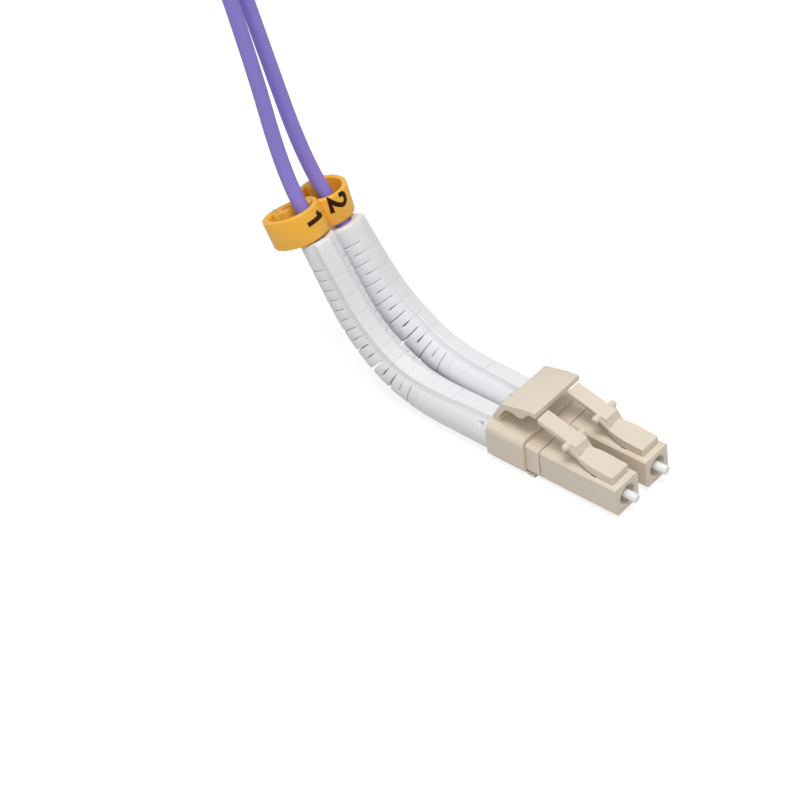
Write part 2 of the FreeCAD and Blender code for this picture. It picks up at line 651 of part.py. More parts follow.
def block(length, width, low, high):
    """A box along the X axis, centred on it sideways and along."""
    return Part.makeBox(length, width, high - low, Vector(-length / 2, -width / 2, low))


def bootRadius(distance):
    share = min(1.0, max(0.0, distance / size("bootLength")))
    return (size("bootFront") * (1 - share) + size("bootRear") * share) / 2


def bootSlice(start, end, inset=0.0):
    """A straight slice of the boot with its spine, and its placement."""
    length, middle = end - start, (start + end) / 2
    radius = bootRadius(middle) - inset
    spine = block(length, size("spineWidth") - 2 * inset, 0, radius + size("spineProud"))
    rounded = Part.makeCylinder(radius, length, Vector(-length / 2, 0, 0), ALONG)
    return rounded.fuse(spine), frameAt(middle)


def bootNeck(end):
    """The unslit neck: a slim cone behind the clip's rear face, its notched spine and its dimple."""
    overlap = 1.0  # how far the neck and its collar reach into each other
    tip = walk(BOOT_PATH, end)[0]
    length = tip.Length + overlap
    wide, spineTop = bootRadius(0), bootRadius(end / 2) + size("spineProud")
    neck = Part.makeCone(wide, bootRadius(end), length, Vector(-overlap, 0, 0), ALONG)
    ridge = block(length, size("spineWidth"), 0, spineTop)
    ridge.translate(Vector(length / 2 - overlap, 0, 0))
    notch = block(size("spineNotchLength"), 2 * size("spineWidth"), wide, 2 * spineTop)
    notch.translate(Vector(size("spineNotchStart"), 0, 0))
    slant = Vector(0, 1, 1).normalize()
    dimpleFloor = Vector(size("dimpleStart"), 0, 0) + slant * (wide - size("dimpleDepth"))
    dimple = Part.makeCylinder(size("dimpleDiameter") / 2, wide, dimpleFloor, slant)
    neck = neck.fuse(ridge).cut(notch).cut(dimple)
    neck.Placement = Placement(Vector(), leaning(tip))
    rearFace = size(CORD_SETBACK + " - clipFront - clipLength")
    behindClip = Part.makeBox(FAR_AWAY, FAR_AWAY, FAR_AWAY,
                              Vector(rearFace - FAR_AWAY, -FAR_AWAY / 2, -FAR_AWAY / 2))
    collarFront = size("barrelLength - fitClearance")
    collarEnd = rearFace - overlap
    collarLength = collarFront - collarEnd
    collar = Part.makeCylinder(size("bootCollar") / 2, collarLength, Vector(collarEnd, 0, 0), ALONG)
    return [neck.common(behindClip), collar]


def liftedPath(lift, start, end):
    """The boot's line between two distances, moved to the spine's side."""
    edges, passed = [], 0.0
    for edge in BOOT_PATH.Edges:
        low, high = max(passed, start), min(passed + edge.Length, end)
        passed += edge.Length
        if high - low < SHORTEST:
            continue
        spots = [frameAt(d).multVec(Vector(0, 0, lift)) for d in (low, (low + high) / 2, high)]
        straight = isinstance(edge.Curve, Part.Line)
        curve = Part.LineSegment(spots[0], spots[2]) if straight else Part.Arc(*spots)
        edges.append(curve.toShape())
    return Part.Wire(edges)


def boot(channel):
    """Strain-relief boot: neck, then ribs joined by the webs that the slits leave."""
    width, pitch, first = size("slitWidth"), size("slitPitch"), size("slitStart")
    count = int(round(size("slitCount")))
    length = size("bootLength")
    pieces = bootNeck(size("neckLength"))
    shank, spot = bootSlice(size("neckLength - neckOverlap"), first - width / 2)
    shank.Placement = spot
    pieces.append(shank)
    for index in range(count):
        middle = first + index * pitch
        ribEnd = middle + pitch - width / 2 if index < count - 1 else length
        rib, spot = bootSlice(middle + width / 2, ribEnd)
        rib.Placement = spot
        web, spot = bootSlice(middle - width, middle + width, inset=size("webInset"))
        cutFromBelow = index % 2 == 1
        low, high = (size("upperWebFloor"), FAR_AWAY) if cutFromBelow else (-FAR_AWAY, size("lowerWebTop"))
        web = web.common(block(2 * width, FAR_AWAY, low, high))
        web.Placement = spot
        pieces += [rib, web]
    solid = pieces[0].multiFuse(pieces[1:])
    wireBore = size("wireDiameter / 2 + fitClearance")
    sleeveEnd = size("sleeveShoulder + 2 * fitClearance")
    gripEnd = size("sleeveGripLength + 2 * fitClearance")
    for cutter in (
        Part.makeCylinder(size("bootSleeveBore") / 2, FAR_AWAY, Vector(-sleeveEnd, 0, 0), ALONG),
        Part.makeCylinder(size("bootGripBore") / 2, FAR_AWAY, Vector(-gripEnd, 0, 0), ALONG),
        tube(BOOT_PATH, size("bootCordBore") / 2),
        tube(liftedPath(size("wireLift"), size("wireStart"), 2 * length), wireBore),
    ):
        solid = solid.cut(cutter)
    return placeShape(solid, channel.label("boot"), channel)


def placeShape(shape, label, channel):
    """A finished shape as a document object, seated at the cord's start."""
    feature = doc.addObject("Part::Feature", label)
    feature.Label = label
    feature.Shape = shape
    return seat(feature, channel.end, CORD_SETBACK, channel.side, "0")


def bootWire(channel):
    line = liftedPath(size("wireLift"), size("wireStart"), size("bootLength - wireEndMargin"))
    return placeShape(tube(line, size("wireDiameter") / 2), channel.label("boot_wire"), channel)


def arcAbout(centre, radius, start, end):
    """An arc in the YZ plane, between two angles in degrees from +Y towards +Z."""
    spots = []
    for angle in (start, (start + end) / 2, end):
        turned = math.radians(angle)
        spots.append(centre + Vector(0, radius * math.cos(turned), radius * math.sin(turned)))
    return Part.Arc(*spots).toShape()


def markerRing(channel):
    """Open ring hung on the cord behind the boot; one end is tucked inward like a hook."""
    outer, wall, hook = size("ringOuter") / 2, size("ringWall"), size("ringHookRadius")
    start, end = -90 + size("ringGapAngle") / 2, 270 - size("ringGapAngle") / 2
    bend = end + size("ringHookTurn")
    centre = Vector()
    turned = math.radians(end)
    hookCentre = Vector(0, math.cos(turned), math.sin(turned)) * (outer - wall / 2 - hook)
    edges = [
        arcAbout(centre, outer, start, end),
        arcAbout(hookCentre, hook + wall / 2, end, bend),
        arcAbout(hookCentre, hook - wall / 2, end, bend),
        arcAbout(centre, outer - wall, start, end),
    ]
    for one, other, at in ((0, 3, 0), (1, 2, -1)):
        here, there = edges[one].Vertexes[at].Point, edges[other].Vertexes[at].Point
        edges.append(Part.LineSegment(here, there).toShape())
    section = Part.Face(Part.Wire(Part.__sortEdges__(edges)))
    ring = section.extrude(Vector(size("ringLength"), 0, 0))
    lead = size("bootLength") + size("ringOneStart" if channel.number == 1 else "ringTwoStart")
    middle = frameAt(lead + size("ringLength") / 2)
    outwardSide = -1 if (channel.number == 1) == (channel.end == "near") else 1
    beside = outwardSide * size("(ringSpacing - channelPitch) / 2")
    corner = middle.multVec(Vector(-size("ringLength") / 2, 0, -size("ringHang"))) + Vector(0, beside, 0)
    ring = ring.transformed(Placement(corner, middle.Rotation).toMatrix(), True)
    return placeShape(ring, channel.label("marker_ring"), channel)


def cord(channel):
    """One cord from end to end, with its radii and its volume checked."""
    inwards = 1 if channel.number == 1 else -1
    points = [Vector(-back, inwards * inward, up) for back, inward, up in CORD_ROUTE]
    path, radii = smoothPath(points)
    radius = size("cordDiameter") / 2
    shape = tube(path, radius)
    wanted = math.pi * radius ** 2 * path.Length
    print("cord %d: length %.1f, volume %.2f of %.2f, radii %s" % (
        channel.number, path.Length, shape.Volume, wanted, " ".join("%.0f" % r for r in radii)))
    feature = doc.addObject("Part::Feature", channel.label("cord"))
    feature.Label = channel.label("cord")
    feature.Shape = shape
    return seat(feature, "near", CORD_SETBACK, channel.side, "0")


PIECES_OF_A_CHANNEL = [
    plugHousing, latch, rearBody, ferrule, ferruleFlange, ferruleSpring, fibreBuffer, crimpSleeve,
    boot, bootWire, markerRing,
]

nodes = []
for end in ("near", "far"):
    nodes += [duplexClip(end), clipTrigger(end)]
    for number in (1, 2):
        nodes += [make(Channel(end, number)) for make in PIECES_OF_A_CHANNEL]
nodes += [cord(Channel("near", number)) for number in (1, 2)]
doc.recompute()

for item in doc.Objects:
    if "Invalid" in item.State or "Error" in item.State:
        raise RuntimeError("%s (%s) failed: %s" % (item.Label, item.TypeId, item.State))
for node in nodes:
    if node.Shape.isNull() or not node.Shape.isValid():
        raise RuntimeError("no valid shape in " + node.Label)
    if len(node.Shape.Solids) != 1:
        raise RuntimeError("%s has %d solids" % (node.Label, len(node.Shape.Solids)))
for node in nodes:
    node.Shape.exportStep("parts/%s.step" % node.Label)
print("%d nodes written" % len(nodes))
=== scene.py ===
import math

import bmesh
import bpy
from mathutils import Matrix, Vector


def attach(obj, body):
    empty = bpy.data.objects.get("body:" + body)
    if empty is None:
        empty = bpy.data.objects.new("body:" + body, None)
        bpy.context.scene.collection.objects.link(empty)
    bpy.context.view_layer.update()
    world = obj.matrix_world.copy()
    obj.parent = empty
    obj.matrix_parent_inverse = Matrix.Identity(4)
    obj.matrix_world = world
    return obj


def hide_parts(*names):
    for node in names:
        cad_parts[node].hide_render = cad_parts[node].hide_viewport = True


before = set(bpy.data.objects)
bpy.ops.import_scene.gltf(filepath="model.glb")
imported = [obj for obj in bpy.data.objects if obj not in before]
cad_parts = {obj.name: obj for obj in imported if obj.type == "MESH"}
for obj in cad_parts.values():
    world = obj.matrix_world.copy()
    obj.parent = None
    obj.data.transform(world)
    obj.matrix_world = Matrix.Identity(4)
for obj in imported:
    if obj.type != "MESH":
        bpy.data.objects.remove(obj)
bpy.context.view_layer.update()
print("frame loaded: %d nodes" % len(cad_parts))

# A duplex fibre patch cord: two plugs, two boots and two marker rings at each of its ends.
# Sizes are in millimetres until a mesh is finished, and a connector is drawn with its plugs along +X.
mm = 0.001
weld = 0.0008  # points nearer than this become one
layout = {"halfPitch": 3.125, "axisHeight": 2.9, "cordStart": -3.5, "farTurn": -173.0}
farSide = Matrix.Translation((layout["farTurn"], 0, 0)) @ Matrix.Rotation(math.pi, 4, "Z")


class Place:
    # Where the pieces of one connector, or of one of its channels, go.
    def __init__(self, far, number=None):
        self.far = far
        self.number = number
        self.side = (-1 if number == 1 else 1) * (-1 if far else 1)  # before the far end is turned
        self.y = self.side * layout["halfPitch"]

    def name(self, word):
        return ("far_" if self.far else "") + word + ("_%d" % self.number if self.number else "")

    def title(self, word):
        # A node's word as a piece's name, such as RearBody_1.
        return self.name(word.replace("_", " ").title().replace(" ", ""))

    def turned(self, shift):
        return (farSide if self.far else Matrix.Identity(4)) @ Matrix.Translation(shift)


ends = [Place(False), Place(True)]
channels = [Place(far, number) for far in (False, True) for number in (1, 2)]


def meshFrom(bm, name, recalc=False):
    bmesh.ops.remove_doubles(bm, verts=bm.verts, dist=weld)
    if recalc:
        bmesh.ops.recalc_face_normals(bm, faces=bm.faces)
    mesh = bpy.data.meshes.new(name)
    bm.to_mesh(mesh)
    bm.free()
    for face in mesh.polygons:
        face.use_smooth = True
    return mesh


def linked(name, data):
    thing = bpy.data.objects.new(name, data)
    bpy.context.scene.collection.objects.link(thing)
    return thing


def evaluatedMesh(holder):
    # What a holder's curve or modifiers come to; the holder itself goes.
    bpy.context.view_layer.update()
    mesh = bpy.data.meshes.new_from_object(holder.evaluated_get(bpy.context.evaluated_depsgraph_get()))
    bpy.data.objects.remove(holder)
    return mesh


def rounded(mesh, width, angle=28):
    # The mesh with every edge sharper than the angle rounded off.
    holder = linked("holder", mesh)
    bevel = holder.modifiers.new("rounding", "BEVEL")
    bevel.width = width
    bevel.segments = 3
    bevel.limit_method = "ANGLE"
    bevel.angle_limit = math.radians(angle)
    bevel.use_clamp_overlap = True
    bevel.miter_outer = "MITER_ARC"
    bevel.harden_normals = True
    return evaluatedMesh(holder)


def combined(mesh, other, operation):
    # The mesh with another one joined to it or cut out of it.
    holder = linked("holder", mesh)
    helper = linked("helper", other)
    boolean = holder.modifiers.new("combine", "BOOLEAN")
    boolean.operation = operation
    boolean.solver = "EXACT"
    boolean.use_self = operation == "UNION"
    boolean.object = helper
    done = evaluatedMesh(holder)
    bpy.data.objects.remove(helper)
    return done


def loft(bm, loops):
    # Faces from each loop to the next, and one over each end.
    count = len(loops[0])
    for one, other in zip(loops, loops[1:]):
        for i in range(count):
            j = (i + 1) % count
            bm.faces.new((one[i], one[j], other[j], other[i]))
    bm.faces.new(loops[0][::-1])
    bm.faces.new(loops[-1])


def setPiece(name, mesh, place, shift, body, material, nodes):
    # A copy of a mesh in millimetres becomes a piece of the object, in metres.
    own = mesh.copy()
    own.name = name
    own.transform(Matrix.Scale(mm, 4) @ place.turned(shift))
    piece = linked(name, own)
    if not own.materials:
        own.materials.append(material)
    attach(piece, body)
    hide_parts(*nodes)
    return piece


# Shader groups shared by the materials.
def nodeGroup(name, inputs, outputs):
    tree = bpy.data.node_groups.new(name, "ShaderNodeTree")
    for word, kind, value in inputs:
        socket = tree.interface.new_socket(word, in_out="INPUT", socket_type=kind)
        if value is not None:
            socket.default_value = value
    for word, kind in outputs:
        tree.interface.new_socket(word, in_out="OUTPUT", socket_type=kind)
    return tree, tree.nodes.new("NodeGroupInput"), tree.nodes.new("NodeGroupOutput")


def addNode(tree, kind, values=(), **settings):
    node = tree.nodes.new(kind)
    for word, value in settings.items():
        setattr(node, word, value)
    for word, value in values:
        node.inputs[word].default_value = value
    return node


def mouldedGroup():
    # Fine grain of a moulded surface, with a soft drift of tone and of gloss.
    tree, given, out = nodeGroup("mouldedSurface", [
        ("Color", "NodeSocketColor", (0.8, 0.8, 0.8, 1)), ("Drift", "NodeSocketFloat", 0.04),
        ("Grain Size", "NodeSocketFloat", 9000.0), ("Grain", "NodeSocketFloat", 0.1),
        ("Gloss", "NodeSocketFloat", 0.45), ("Gloss Drift", "NodeSocketFloat", 0.06),
    ], [("Color", "NodeSocketColor"), ("Roughness", "NodeSocketFloat"), ("Normal", "NodeSocketVector")])
    links = tree.links
    spot = addNode(tree, "ShaderNodeTexCoord")
    cloud = addNode(tree, "ShaderNodeTexNoise", [("Scale", 260.0), ("Detail", 3.0)])
    grain = addNode(tree, "ShaderNodeTexNoise", [("Detail", 2.0), ("Roughness", 0.6)])
    links.new(spot.outputs["Object"], cloud.inputs["Vector"])
    links.new(spot.outputs["Object"], grain.inputs["Vector"])
    links.new(given.outputs["Grain Size"], grain.inputs["Scale"])
    centred = addNode(tree, "ShaderNodeMath", [(1, 0.5)], operation="SUBTRACT")
    links.new(cloud.outputs["Fac"], centred.inputs[0])
    tone = addNode(tree, "ShaderNodeMath", [(2, 1.0)], operation="MULTIPLY_ADD")
    links.new(centred.outputs[0], tone.inputs[0])
    links.new(given.outputs["Drift"], tone.inputs[1])
    scaled = addNode(tree, "ShaderNodeVectorMath", operation="SCALE")
    links.new(given.outputs["Color"], scaled.inputs[0])
    links.new(tone.outputs[0], scaled.inputs["Scale"])
    links.new(scaled.outputs[0], out.inputs["Color"])
    rough = addNode(tree, "ShaderNodeMath", operation="MULTIPLY_ADD")
    links.new(centred.outputs[0], rough.inputs[0])
    links.new(given.outputs["Gloss Drift"], rough.inputs[1])
    links.new(given.outputs["Gloss"], rough.inputs[2])
    links.new(rough.outputs[0], out.inputs["Roughness"])
    bump = addNode(tree, "ShaderNodeBump", [("Distance", 0.00002)])
    links.new(given.outputs["Grain"], bump.inputs["Strength"])
    links.new(grain.outputs["Fac"], bump.inputs["Height"])
    links.new(bump.outputs["Normal"], out.inputs["Normal"])
    return tree


def scuffedGroup():
    # Handling marks: short pale strokes across a surface, as a mask.
    tree, given, out = nodeGroup("scuffMarks", [
        ("Scale", "NodeSocketFloat", 900.0), ("Spread", "NodeSocketFloat", 0.1),
    ], [("Mask", "NodeSocketFloat")])
    links = tree.links
    spot = addNode(tree, "ShaderNodeTexCoord")
    drawn = addNode(tree, "ShaderNodeMapping", [("Scale", (1.0, 3.5, 2.2)), ("Rotation", (0.3, 0.5, 0.2))])
    noise = addNode(tree, "ShaderNodeTexNoise", [("Detail", 4.0), ("Roughness", 0.65)])
    links.new(spot.outputs["Object"], drawn.inputs["Vector"])
    links.new(drawn.outputs["Vector"], noise.inputs["Vector"])
    links.new(given.outputs["Scale"], noise.inputs["Scale"])
    ramp = addNode(tree, "ShaderNodeMapRange", [("From Min", 0.62), ("From Max", 0.8)])
    links.new(noise.outputs["Fac"], ramp.inputs["Value"])
    amount = addNode(tree, "ShaderNodeMath", operation="MULTIPLY")
    links.new(ramp.outputs["Result"], amount.inputs[0])
    links.new(given.outputs["Spread"], amount.inputs[1])
    links.new(amount.outputs[0], out.inputs["Mask"])
    return tree


moulded = mouldedGroup()
scuffs = scuffedGroup()


def linear(red, green, blue):
    # A colour as a painter gives it, 0 to 255, for the shader.
    shares = [c / 255 for c in (red, green, blue)]
    return tuple(s / 12.92 if s <= 0.04045 else ((s + 0.055) / 1.055) ** 2.4 for s in shares) + (1.0,)


def madeMaterial(name, look, shader=()):
    material = bpy.data.materials.new(name)
    material.use_nodes = True
    tree = material.node_tree
    principled = tree.nodes["Principled BSDF"]
    surface = addNode(tree, "ShaderNodeGroup", node_tree=moulded)
    marks = addNode(tree, "ShaderNodeGroup", node_tree=scuffs)
    for word in ("Color", "Drift", "Grain", "Gloss", "Gloss Drift"):
        if word in look:
            surface.inputs[word].default_value = look[word]
    if "Scuffs" in look:
        marks.inputs["Spread"].default_value = look["Scuffs"]
    worn = addNode(tree, "ShaderNodeMix", [(7, look["Worn"])], data_type="RGBA")  # 6 and 7 are its colours
    tree.links.new(marks.outputs["Mask"], worn.inputs[0])
    tree.links.new(surface.outputs["Color"], worn.inputs[6])
    tree.links.new(worn.outputs[2], principled.inputs["Base Color"])
    tree.links.new(surface.outputs["Roughness"], principled.inputs["Roughness"])
    tree.links.new(surface.outputs["Normal"], principled.inputs["Normal"])
    for word, value in shader:
        principled.inputs[word].default_value = value
    return material


finishes = {
    "connectorPlastic": madeMaterial("connectorPlastic", {
        "Color": linear(228, 215, 197), "Drift": 0.05, "Grain": 0.10, "Gloss": 0.42, "Scuffs": 0.12,
        "Worn": linear(238, 228, 214)}),
    "bootPlastic": madeMaterial("bootPlastic", {
        "Color": linear(233, 233, 236), "Drift": 0.03, "Grain": 0.15, "Gloss": 0.5, "Scuffs": 0.1,
        "Worn": linear(250, 250, 250)}),
    "cordJacket": madeMaterial("cordJacket", {
        "Color": linear(150, 134, 217), "Drift": 0.06, "Grain": 0.12, "Gloss": 0.45, "Scuffs": 0.08,
        "Worn": linear(160, 145, 215)}, [("Specular IOR Level", 0.2)]),
    "ringPlastic": madeMaterial("ringPlastic", {
        "Color": linear(254, 188, 64), "Drift": 0.06, "Grain": 0.08, "Gloss": 0.34, "Scuffs": 0.08,
        "Worn": linear(250, 205, 110)},
        [("Subsurface Weight", 0.3), ("Subsurface Radius", (1.0, 0.35, 0.05)), ("Subsurface Scale", 0.001)]),
    "ringInk": madeMaterial("ringInk", {
        "Color": linear(66, 28, 8), "Drift": 0.2, "Grain": 0.1, "Gloss": 0.5, "Scuffs": 0.1,
        "Worn": linear(120, 70, 30)}, [("Specular IOR Level", 0.1)]),
    "ferruleCeramic": madeMaterial("ferruleCeramic", {
        "Color": linear(244, 246, 247), "Drift": 0.02, "Grain": 0.02, "Gloss": 0.15, "Gloss Drift": 0.03,
        "Scuffs": 0.02, "Worn": linear(250, 250, 250)}, [("Coat Weight", 0.3), ("Coat Roughness", 0.08)]),
    "flangeMetal": madeMaterial("flangeMetal", {
        "Color": linear(200, 198, 190), "Grain": 0.1, "Gloss": 0.3, "Worn": linear(230, 230, 225)},
        [("Metallic", 1.0)]),
    "springSteel": madeMaterial("springSteel", {
        "Color": linear(188, 188, 188), "Grain": 0.05, "Gloss": 0.28, "Worn": linear(225, 225, 225)},
        [("Metallic", 1.0)]),
    "crimpMetal": madeMaterial("crimpMetal", {
        "Color": linear(205, 195, 170), "Grain": 0.1, "Gloss": 0.35, "Worn": linear(230, 225, 210)},
        [("Metallic", 1.0)]),
    "wireSteel": madeMaterial("wireSteel", {
        "Color": linear(196, 196, 194), "Grain": 0.05, "Gloss": 0.25, "Worn": linear(230, 230, 230)},
        [("Metallic", 1.0)]),
    "fibreCoating": madeMaterial("fibreCoating", {
        "Color": linear(235, 235, 225), "Grain": 0.05, "Gloss": 0.4, "Worn": linear(250, 250, 245)}),
}
print("materials made: %d" % len(finishes))


# The two cords, each on one smooth line from connector to connector.
cordSizes = {"diameter": 2.0, "length": 0.2665, "turn": 166.0, "halves": {
    # back, inward, up from the cord's start, over the first half of each cord
    -1: [(0.0, 0.0, 0.0), (5.0, 0.0, 0.0), (11.3, 0.0, 0.0), (16.3, 0.0, 1.3), (20.4, 0.0, 4.2),
         (23.7, 0.05, 8.0), (26.2, 0.15, 12.3), (30.0, 0.35, 19.3), (34.8, 0.95, 27.2), (38.3, 1.6, 43.4),
         (44.2, 1.975, 64.7), (56.3, 1.975, 79.3), (73.5, 1.975, 87.4)],
    1: [(0.0, 0.0, 0.0), (5.0, 0.0, 0.0), (11.0, 0.0, 0.2), (15.9, 0.05, 1.6), (20.1, 0.15, 4.3),
        (23.7, 0.35, 7.7), (26.4, 0.55, 11.8), (30.3, 0.8, 18.6), (34.9, 1.2, 26.5), (38.8, 1.7, 43.0),
        (44.2, 1.975, 64.7), (56.3, 1.975, 79.3), (73.5, 1.975, 87.4)],
}}


def cordPoints(side):
    # The far connector is the near one turned half round, so a cord ends as the other cord begins.
    far = [(cordSizes["turn"] - back, inward, up) for back, inward, up in cordSizes["halves"][-side]]
    return cordSizes["halves"][side] + far[::-1]


def cordCurve(name, side, thick=True):
    curve = bpy.data.curves.new(name, "CURVE")
    curve.dimensions = "3D"
    curve.resolution_u = 16
    if thick:
        curve.bevel_depth = cordSizes["diameter"] / 2 * mm
        curve.bevel_resolution = 8
        curve.use_fill_caps = True
    spline = curve.splines.new("NURBS")
    points = cordPoints(side)
    spline.points.add(len(points) - 1)
    for point, (back, inward, up) in zip(spline.points, points):
        point.co = ((layout["cordStart"] - back) * mm, side * (layout["halfPitch"] - inward) * mm,
                    (layout["axisHeight"] + up) * mm, 1)
    spline.order_u = 3
    spline.use_endpoint_u = True
    return curve


class Route:
    # The line of one cord, read from its spline, in millimetres along the way.
    def __init__(self, side):
        self.side = side
        line = evaluatedMesh(linked("route", cordCurve("route", side, thick=False)))
        self.spots = [v.co / mm for v in line.vertices]
        bpy.data.meshes.remove(line)
        self.way = [0.0]
        for here, there in zip(self.spots, self.spots[1:]):
            self.way.append(self.way[-1] + (there - here).length)

    def at(self, distance):
        # Spot, direction, sideways and the spine's side at a distance from the cord's start.
        if distance <= 0:
            along = (self.spots[1] - self.spots[0]).normalized()
            spot = self.spots[0] + along * distance
        else:
            low = max(i for i, way in enumerate(self.way[:-1]) if way <= distance)
            share = (distance - self.way[low]) / (self.way[low + 1] - self.way[low])
            spot = self.spots[low].lerp(self.spots[low + 1], share)
            before = self.spots[max(low - 1, 0)]
            after = self.spots[min(low + 2, len(self.spots) - 1)]
            start = (self.spots[low + 1] - before).normalized()
            end = (after - self.spots[low]).normalized()
            along = start.lerp(end, share).normalized()
        across = Vector((0, -1, 0))
        across = (across - along * along.dot(across)).normalized()
        return spot, along, across, along.cross(across)

    def bend(self, distance, sideways, up):
        # A spot beside the line; the boots turn outwards about it towards their rear ends.
        spot, along, across, above = self.at(distance)
        turn = math.radians(bootSizes["turns"][self.side]) * min(1, max(0, distance / bootSizes["length"]))
        spine = above * math.cos(turn) + across * math.sin(turn)
        return spot + (across * math.cos(turn) - above * math.sin(turn)) * sideways + spine * up


routes = {side: Route(side) for side in (-1, 1)}
print("cord length %.1f mm" % routes[-1].way[-1])


# Steel, ceramic and inner pieces keep the frame's shapes.
for node, word in (("ferrule_flange", "flangeMetal"), ("ferrule_spring", "springSteel"),
                   ("fibre_buffer", "fibreCoating"), ("crimp_sleeve", "crimpMetal"),
                   ("ferrule", "ferruleCeramic")):
    for place in channels:
        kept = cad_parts[place.name(node)]
        kept.data.materials.clear()
        kept.data.materials.append(finishes[word])


merging = {"distance": 0.002, "degrees": 1.0}


def framedCopy(node):
    # A node's shape in millimetres about its own connector, with its loose triangles merged.
    bm = bmesh.new()
    bm.from_mesh(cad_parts[node].data)
    bmesh.ops.scale(bm, vec=(1 / mm, 1 / mm, 1 / mm), verts=bm.verts)
    bmesh.ops.remove_doubles(bm, verts=bm.verts, dist=merging["distance"])
    bmesh.ops.dissolve_limit(bm, angle_limit=math.radians(merging["degrees"]), verts=bm.verts, edges=bm.edges)
    return bm


rounding = {"plug_housing": 0.2, "rear_body": 0.12, "duplex_clip": 0.25, "clip_trigger": 0.18}
seam = {"depth": 0.09, "past": 4.5, "rim": 1.9}  # the rear body's front face steps back outside the rim
for word in ("plug_housing", "rear_body"):
    bm = framedCopy(word + "_1")
    bmesh.ops.translate(bm, vec=(0, layout["halfPitch"], 0), verts=bm.verts)
    for vert in bm.verts:
        beside = max(abs(vert.co.y), abs(vert.co.z - layout["axisHeight"]))
        if word == "rear_body" and vert.co.x > seam["past"] and beside > seam["rim"]:
            vert.co.x -= seam["depth"]
    mesh = rounded(meshFrom(bm, word), rounding[word])
    for place in channels:
        setPiece(place.title(word), mesh, place, (0, place.y, 0), "body",
                 finishes["connectorPlastic"], [place.name(word)])

for word in ("duplex_clip", "clip_trigger"):
    mesh = rounded(meshFrom(framedCopy(word), word), rounding[word])
    for place in ends:
        body = "body" if word == "duplex_clip" else place.name("trigger")
        setPiece(place.title(word), mesh, place, (0, 0, 0), body,
                 finishes["connectorPlastic"], [place.name(word)])
print("housings, clips and triggers made")


# Latches, drawn from the pivot: a front plate that narrows to a waist, a step, and a rising tail.
latchSizes = {
    "pivot": (13.3, 5.15), "rounding": 0.13, "bead": 0.35, "beadLength": 3.2, "roundSides": 24,
    # along, underside, top, half width
    "sections": [
        (3.05, 0.0, 1.2, 1.65), (1.4, 0.0, 1.28, 1.65), (0.0, 0.02, 1.37, 1.65), (-0.6, 0.16, 1.42, 1.63),
        (-1.3, 0.33, 1.46, 1.57), (-1.95, 0.5, 1.5, 1.44), (-2.4, 0.62, 1.54, 1.36), (-2.74, 0.72, 1.6, 1.3),
        (-3.0, 1.05, 2.95, 1.2), (-3.5, 1.5, 3.07, 1.17), (-4.4, 2.35, 3.3, 1.15), (-6.5, 3.02, 3.86, 1.15),
        (-8.6, 3.54, 4.4, 1.15), (-9.05, 3.72, 4.51, 1.15), (-9.2, 3.95, 4.55, 1.15),
    ],
    "ear": (-4.25, 2.72), "earRadius": 0.52,
    # reach from the middle, share of the ear's radius
    "earProfile": [(0.9, 0.9), (1.25, 0.92), (1.7, 1.0), (1.95, 0.96), (2.1, 0.78), (2.18, 0.5), (2.2, 0.2)],
    "gussetRoot": 1.0,
    # along, height, reach from the middle
    "gusset": [(-4.55, 2.42, 1.72), (-3.95, 2.97, 1.72), (-2.6, 1.75, 1.42), (-2.2, 1.25, 1.38),
               (-2.7, 1.0, 1.34), (-3.4, 1.5, 1.5)],
}


def latchBlade():
    bm = bmesh.new()
    loops = []
    for x, low, top, half in latchSizes["sections"]:
        corners = ((half, top), (half, low), (-half, low), (-half, top))
        loops.append([bm.verts.new((x, y, z)) for y, z in corners])
    loft(bm, loops)
    return rounded(meshFrom(bm, "blade", recalc=True), latchSizes["rounding"], angle=24)


def latchEars():
    # Two round stubs, each with a gusset down to the waist, and the pivot's bead.
    sizes = latchSizes
    bm = bmesh.new()
    x, z = sizes["ear"]
    count = sizes["roundSides"]
    turns = [2 * math.pi * i / count for i in range(count)]
    for side in (-1, 1):
        loops = []
        for reach, share in sizes["earProfile"]:
            radius = sizes["earRadius"] * share
            loops.append([bm.verts.new((x + radius * math.cos(t), side * reach, z + radius * math.sin(t)))
                          for t in turns])
        loft(bm, loops)
        loft(bm, [[bm.verts.new((along, side * sizes["gussetRoot"], up)) for along, up, _ in sizes["gusset"]],
                  [bm.verts.new((along, side * reach, up)) for along, up, reach in sizes["gusset"]]])
    bmesh.ops.create_cone(bm, cap_ends=True, segments=count, radius1=sizes["bead"], radius2=sizes["bead"],
                          depth=sizes["beadLength"], matrix=Matrix.Rotation(math.pi / 2, 4, "X"))
    return meshFrom(bm, "ears", recalc=True)


latchShape = combined(latchBlade(), latchEars(), "UNION")
for place in channels:
    pivot = (latchSizes["pivot"][0], place.y, latchSizes["pivot"][1])
    setPiece(place.name("Latch"), latchShape, place, pivot, place.name("latch") + "_lever",
             finishes["connectorPlastic"], [place.name("latch")])
print("latches made: %d faces each" % len(latchShape.polygons))


